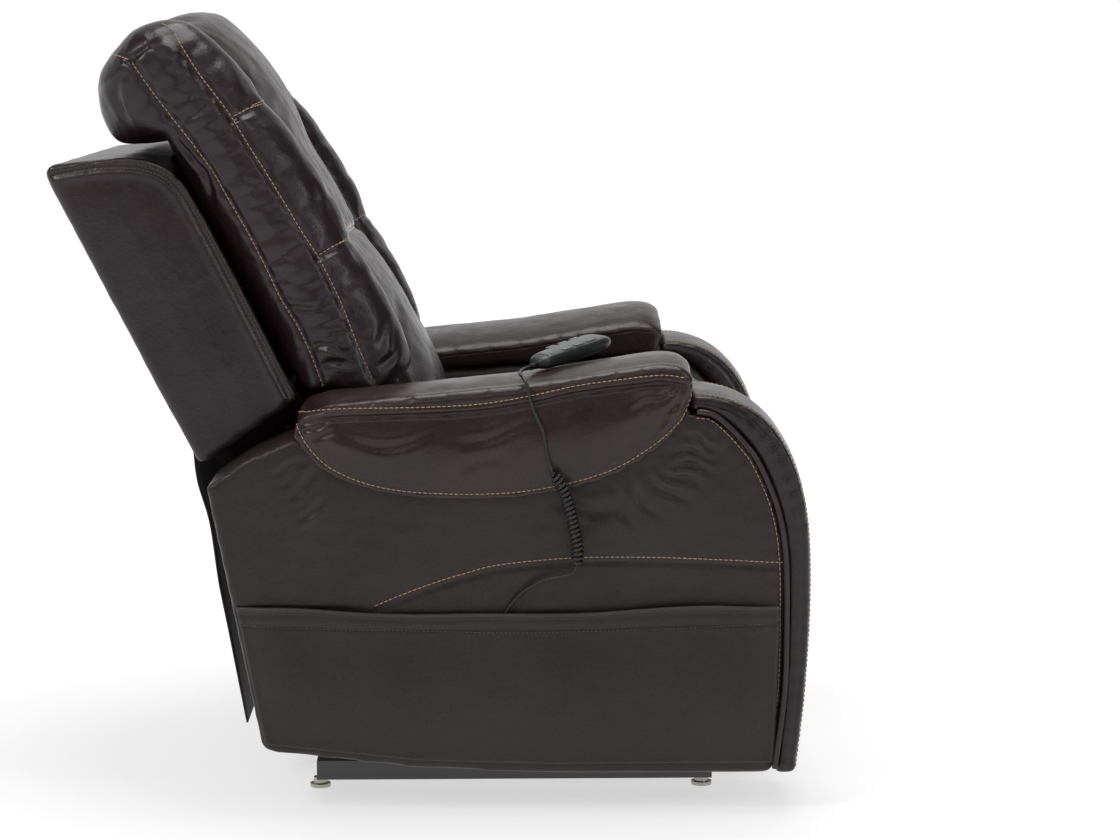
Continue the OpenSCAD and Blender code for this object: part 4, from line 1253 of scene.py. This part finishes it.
# ---------------------------------------------------------------- the footrest
def footpad():
    (x0, x1), (z0, z1) = FOOT_X, FOOT_Z
    outline = [
        (x0, z0 + 4), (x1 - 14, z0 + 6), (x1 - 6, z0 + 64), (x1 - 10, z1 - 36), (x1 - 30, z1 - 6), (x0, z1 - 3),
    ]
    y0, y1 = -FOOT_Y + 5, FOOT_Y - 5
    obj = soft_block("footrest_cover", [slab(outline, y0, y1)], 6.5, 9)
    side = [(x1 - 26, z1 - 10), (x1 - 10, z1 - 40), (x1 - 6, z0 + 70), (x1 - 14, z0 + 8)]
    edges = [line_at(side, 12, y) for y in (y0, y1)]
    channel = across(x1 - 8, y0, y1, (z0 + z1) / 2, 30)
    inflated(obj, 14, edges + [channel])
    relaxed(obj, 2)
    puffed(obj, edges + [channel], 7.0, 50, lambda co: rise(co[:, 0], x0 + 20, 30))
    sewn(obj, [(e, 3.0, 8, 1.4, 40, 24) for e in edges] + [(channel, 7.0, 10, 2.0, 36, 30)], 81)
    raised(obj, 0.9 * ripple(points_of(obj), 90, 83))
    return settled(obj)


foot_cover = footpad()
foot_row = across(750, -FOOT_Y + 12, FOOT_Y - 12, sum(FOOT_Z) / 2 + 8, 40) * MM
foot_thread = stitches("footrest_thread", foot_cover, [(foot_row, (-1, 0, 0))])
finished(foot_cover, "footrest", SEAT, ("footrest_pad",))
finished(foot_thread, "footrest", TAN)


# ---------------------------------------------------------------- the rear flap
def rear_flap():
    """Black lining cloth that hangs from the back down to the carriage and closes the mechanism in."""
    half = edge("rear_flap", 1, 1)
    drop = [(-343, 500), (-338, 452), (-322, 395), (-313, 330), (-309, 300), (-296, 230), (-272, 97)]
    line = smooth_line(drop, 14)
    columns, rows = 48, len(line) - 1
    wall = []
    for k, (x, z) in enumerate(line):
        for i in range(columns + 1):
            y = -half + 2 * half * i / columns
            slack = 2.2 * math.sin(i * 0.55) * math.sin(math.pi * k / rows)
            # Between the arms the flap bows forward into the gap under the back: there its dark cloth is painted
            # shade as well as lining.
            between_arms = max(0.0, 1 - (y / (ARM_IN - 12)) ** 6)
            wall.append((x + slack + 24 * between_arms * bell(z - 400, 70), y, z))
    inner = [(x + 2.4, y, z) for x, y, z in wall]
    flap = new_object("rear_flap_cover", *two_walls(wall, inner, columns, rows))
    return settled(flap), (round(2 * half * MM, 3), round(float(run_of(line)[-1]) * MM, 3))


flap, flap_size = rear_flap()
dressed(flap, CLOTH)
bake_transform(flap)
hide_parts("rear_flap")


# ---------------------------------------------------------------- the hand control
CONTROL_AT = (150, -392, 623)
CONTROL_YAW, CONTROL_PITCH = math.radians(50), math.radians(8)
CONTROL_L, CONTROL_H = 150, 20
SECTION_POWER = 2 / 2.9


def control_place(co):
    """From the control's own frame, along its length from the cord end, to the chair's, in millimetres."""
    c, s = math.cos(CONTROL_PITCH), math.sin(CONTROL_PITCH)
    x, y, z = co[:, 0] * c - co[:, 2] * s, co[:, 1], co[:, 0] * s + co[:, 2] * c
    c, s = math.cos(CONTROL_YAW), math.sin(CONTROL_YAW)
    return np.stack([x * c - y * s, x * s + y * c, z], 1) + CONTROL_AT


def rounded(value):
    """A cosine or sine turned into that of a squarish round section."""
    return math.copysign(abs(value) ** SECTION_POWER, value)


def control_shell(name, start, end, low_turn, high_turn, out):
    """A moulded shell: rounded sections along the control, each from one turn of its section to another."""
    stations, sides = 60, 48
    closed = high_turn - low_turn > 359
    m = sides if closed else sides + 1
    turns = [math.radians(low_turn + (high_turn - low_turn) * k / sides) for k in range(m)]
    verts = []
    for i in range(stations + 1):
        x = start + (end - start) * i / stations
        nose = min(1.0, (x + 4) / 20, (CONTROL_L + 1 - x) / 26)
        blunt = math.sqrt(max(0.0, 1 - (1 - max(nose, 0.02)) ** 2))
        half_w = np.interp(x, [0, 60, 150], [17, 21.5, 25.5]) * (0.35 + 0.65 * blunt) + out
        half_h = (CONTROL_H / 2 + 1.5 * math.sin(math.pi * x / CONTROL_L)) * (0.25 + 0.75 * blunt) + out
        middle = CONTROL_H / 2 + 2.5 * ((x / CONTROL_L) - 0.4) ** 2
        verts += [(x, half_w * rounded(math.cos(a)), middle + half_h * rounded(math.sin(a))) for a in turns]
    if closed:
        faces = [list(range(m))[::-1], [stations * m + k for k in range(m)]]
        for start_of_ring in range(0, stations * m, m):
            for k in range(m):
                a, b = start_of_ring + k, start_of_ring + (k + 1) % m
                faces.append([a, b, b + m, a + m])
    else:
        verts, faces = two_walls(verts, [(x, y * 0.93, z - 1.6) for x, y, z in verts], m - 1, stations)
    obj = new_object(name, verts, faces)
    set_points(obj, control_place(points_of(obj)) * MM)
    obj.data.shade_smooth()
    return obj


casing = control_shell("control_casing_shell", -3, CONTROL_L, 0, 360, 0.0)
finished(casing, "carriage", CASING, ("control_casing",))
fascia = control_shell("control_fascia_shell", 12, CONTROL_L - 12, 38, 142, 0.5)
finished(fascia, "carriage", FASCIA, ("control_fascia",))


# ---------------------------------------------------------------- floor, lights
def area(name, at, aim, size, power):
    data = bpy.data.lights.new(name, "AREA")
    data.shape = "RECTANGLE"
    data.size, data.size_y = size
    data.energy = power
    obj = bpy.data.objects.new(name, data)
    obj.location = at
    obj.rotation_mode = "QUATERNION"
    obj.rotation_quaternion = (Vector(aim) - Vector(at)).to_track_quat("-Z", "Y")
    SCENE.collection.objects.link(obj)


def soft_wall(name, at, aim, size, glow):
    """A wide, even white surface that only reflections and light see; glow is its brightness."""
    area(name, at, aim, size, glow * math.pi * size[0] * size[1])
    bpy.data.objects[name].visible_camera = False


area("key", (-2.3, -2.4, 3.2), (-0.1, 0, 0.7), (1.1, 1.1), 58)
area("front", (3.2, -2.6, 1.9), (0.2, 0, 0.5), (0.7, 2.2), 26)
soft_wall("top", (0.3, 0.2, 3.6), (0, 0, 0.5), (3.0, 1.8), 5.0)
soft_wall("front_high", (0, -3.9, 2.9), (0, 0, 0.5), (5.5, 1.0), 1.7)
soft_wall("backdrop", (0, 4.2, 1.9), (0, 0, 1.2), (10, 4.4), 0.85)
soft_wall("left", (-4.4, 0.6, 1.6), (0, 0, 0.8), (5, 3.4), 0.5)

floor = new_object("floor", [(-30, -30, 0), (30, -30, 0), (30, 30, 0), (-30, 30, 0)], [[0, 1, 2, 3]])
floor_material, tree, bsdf, place = material("floor")
paper = ramp_node(tree, noise_node(tree, place, 3.0, 2.0), [(0.2, 0.40), (0.8, 0.44)])
# the paper floor glows more away from the chair, as a lit sweep does, so that only the shadow shows on it
far_off = tree.nodes.new("ShaderNodeVectorMath")
far_off.operation = "LENGTH"
tree.links.new(place, far_off.inputs[0])
away = spread_node(tree, far_off.outputs["Value"], 0.0, 1.0, 0.5, 5.0)
glow = ramp_node(tree, away, [(0.0, 0.62), (0.4, 0.80), (1.0, 1.0)])
gloss = {"Roughness": 0.6, "Specular IOR Level": 0.1, "Emission Strength": 1.0}
set_inputs(tree, bsdf, {"Base Color": paper, "Emission Color": glow, **gloss})
dressed(floor, floor_material)

world = bpy.data.worlds.new("studio")
SCENE.world = world
world.use_nodes = True
nodes, links = world.node_tree.nodes, world.node_tree.links
nodes.clear()
out = nodes.new("ShaderNodeOutputWorld")
seen = nodes.new("ShaderNodeLightPath")
both = nodes.new("ShaderNodeMixShader")
links.new(seen.outputs["Is Camera Ray"], both.inputs[0])
for socket, strength in ((1, 0.07), (2, 1.0)):
    background = nodes.new("ShaderNodeBackground")
    background.inputs[0].default_value = (1, 1, 1, 1)
    background.inputs[1].default_value = strength
    links.new(background.outputs[0], both.inputs[socket])
links.new(both.outputs[0], out.inputs[0])
SCENE.view_settings.view_transform = "Standard"
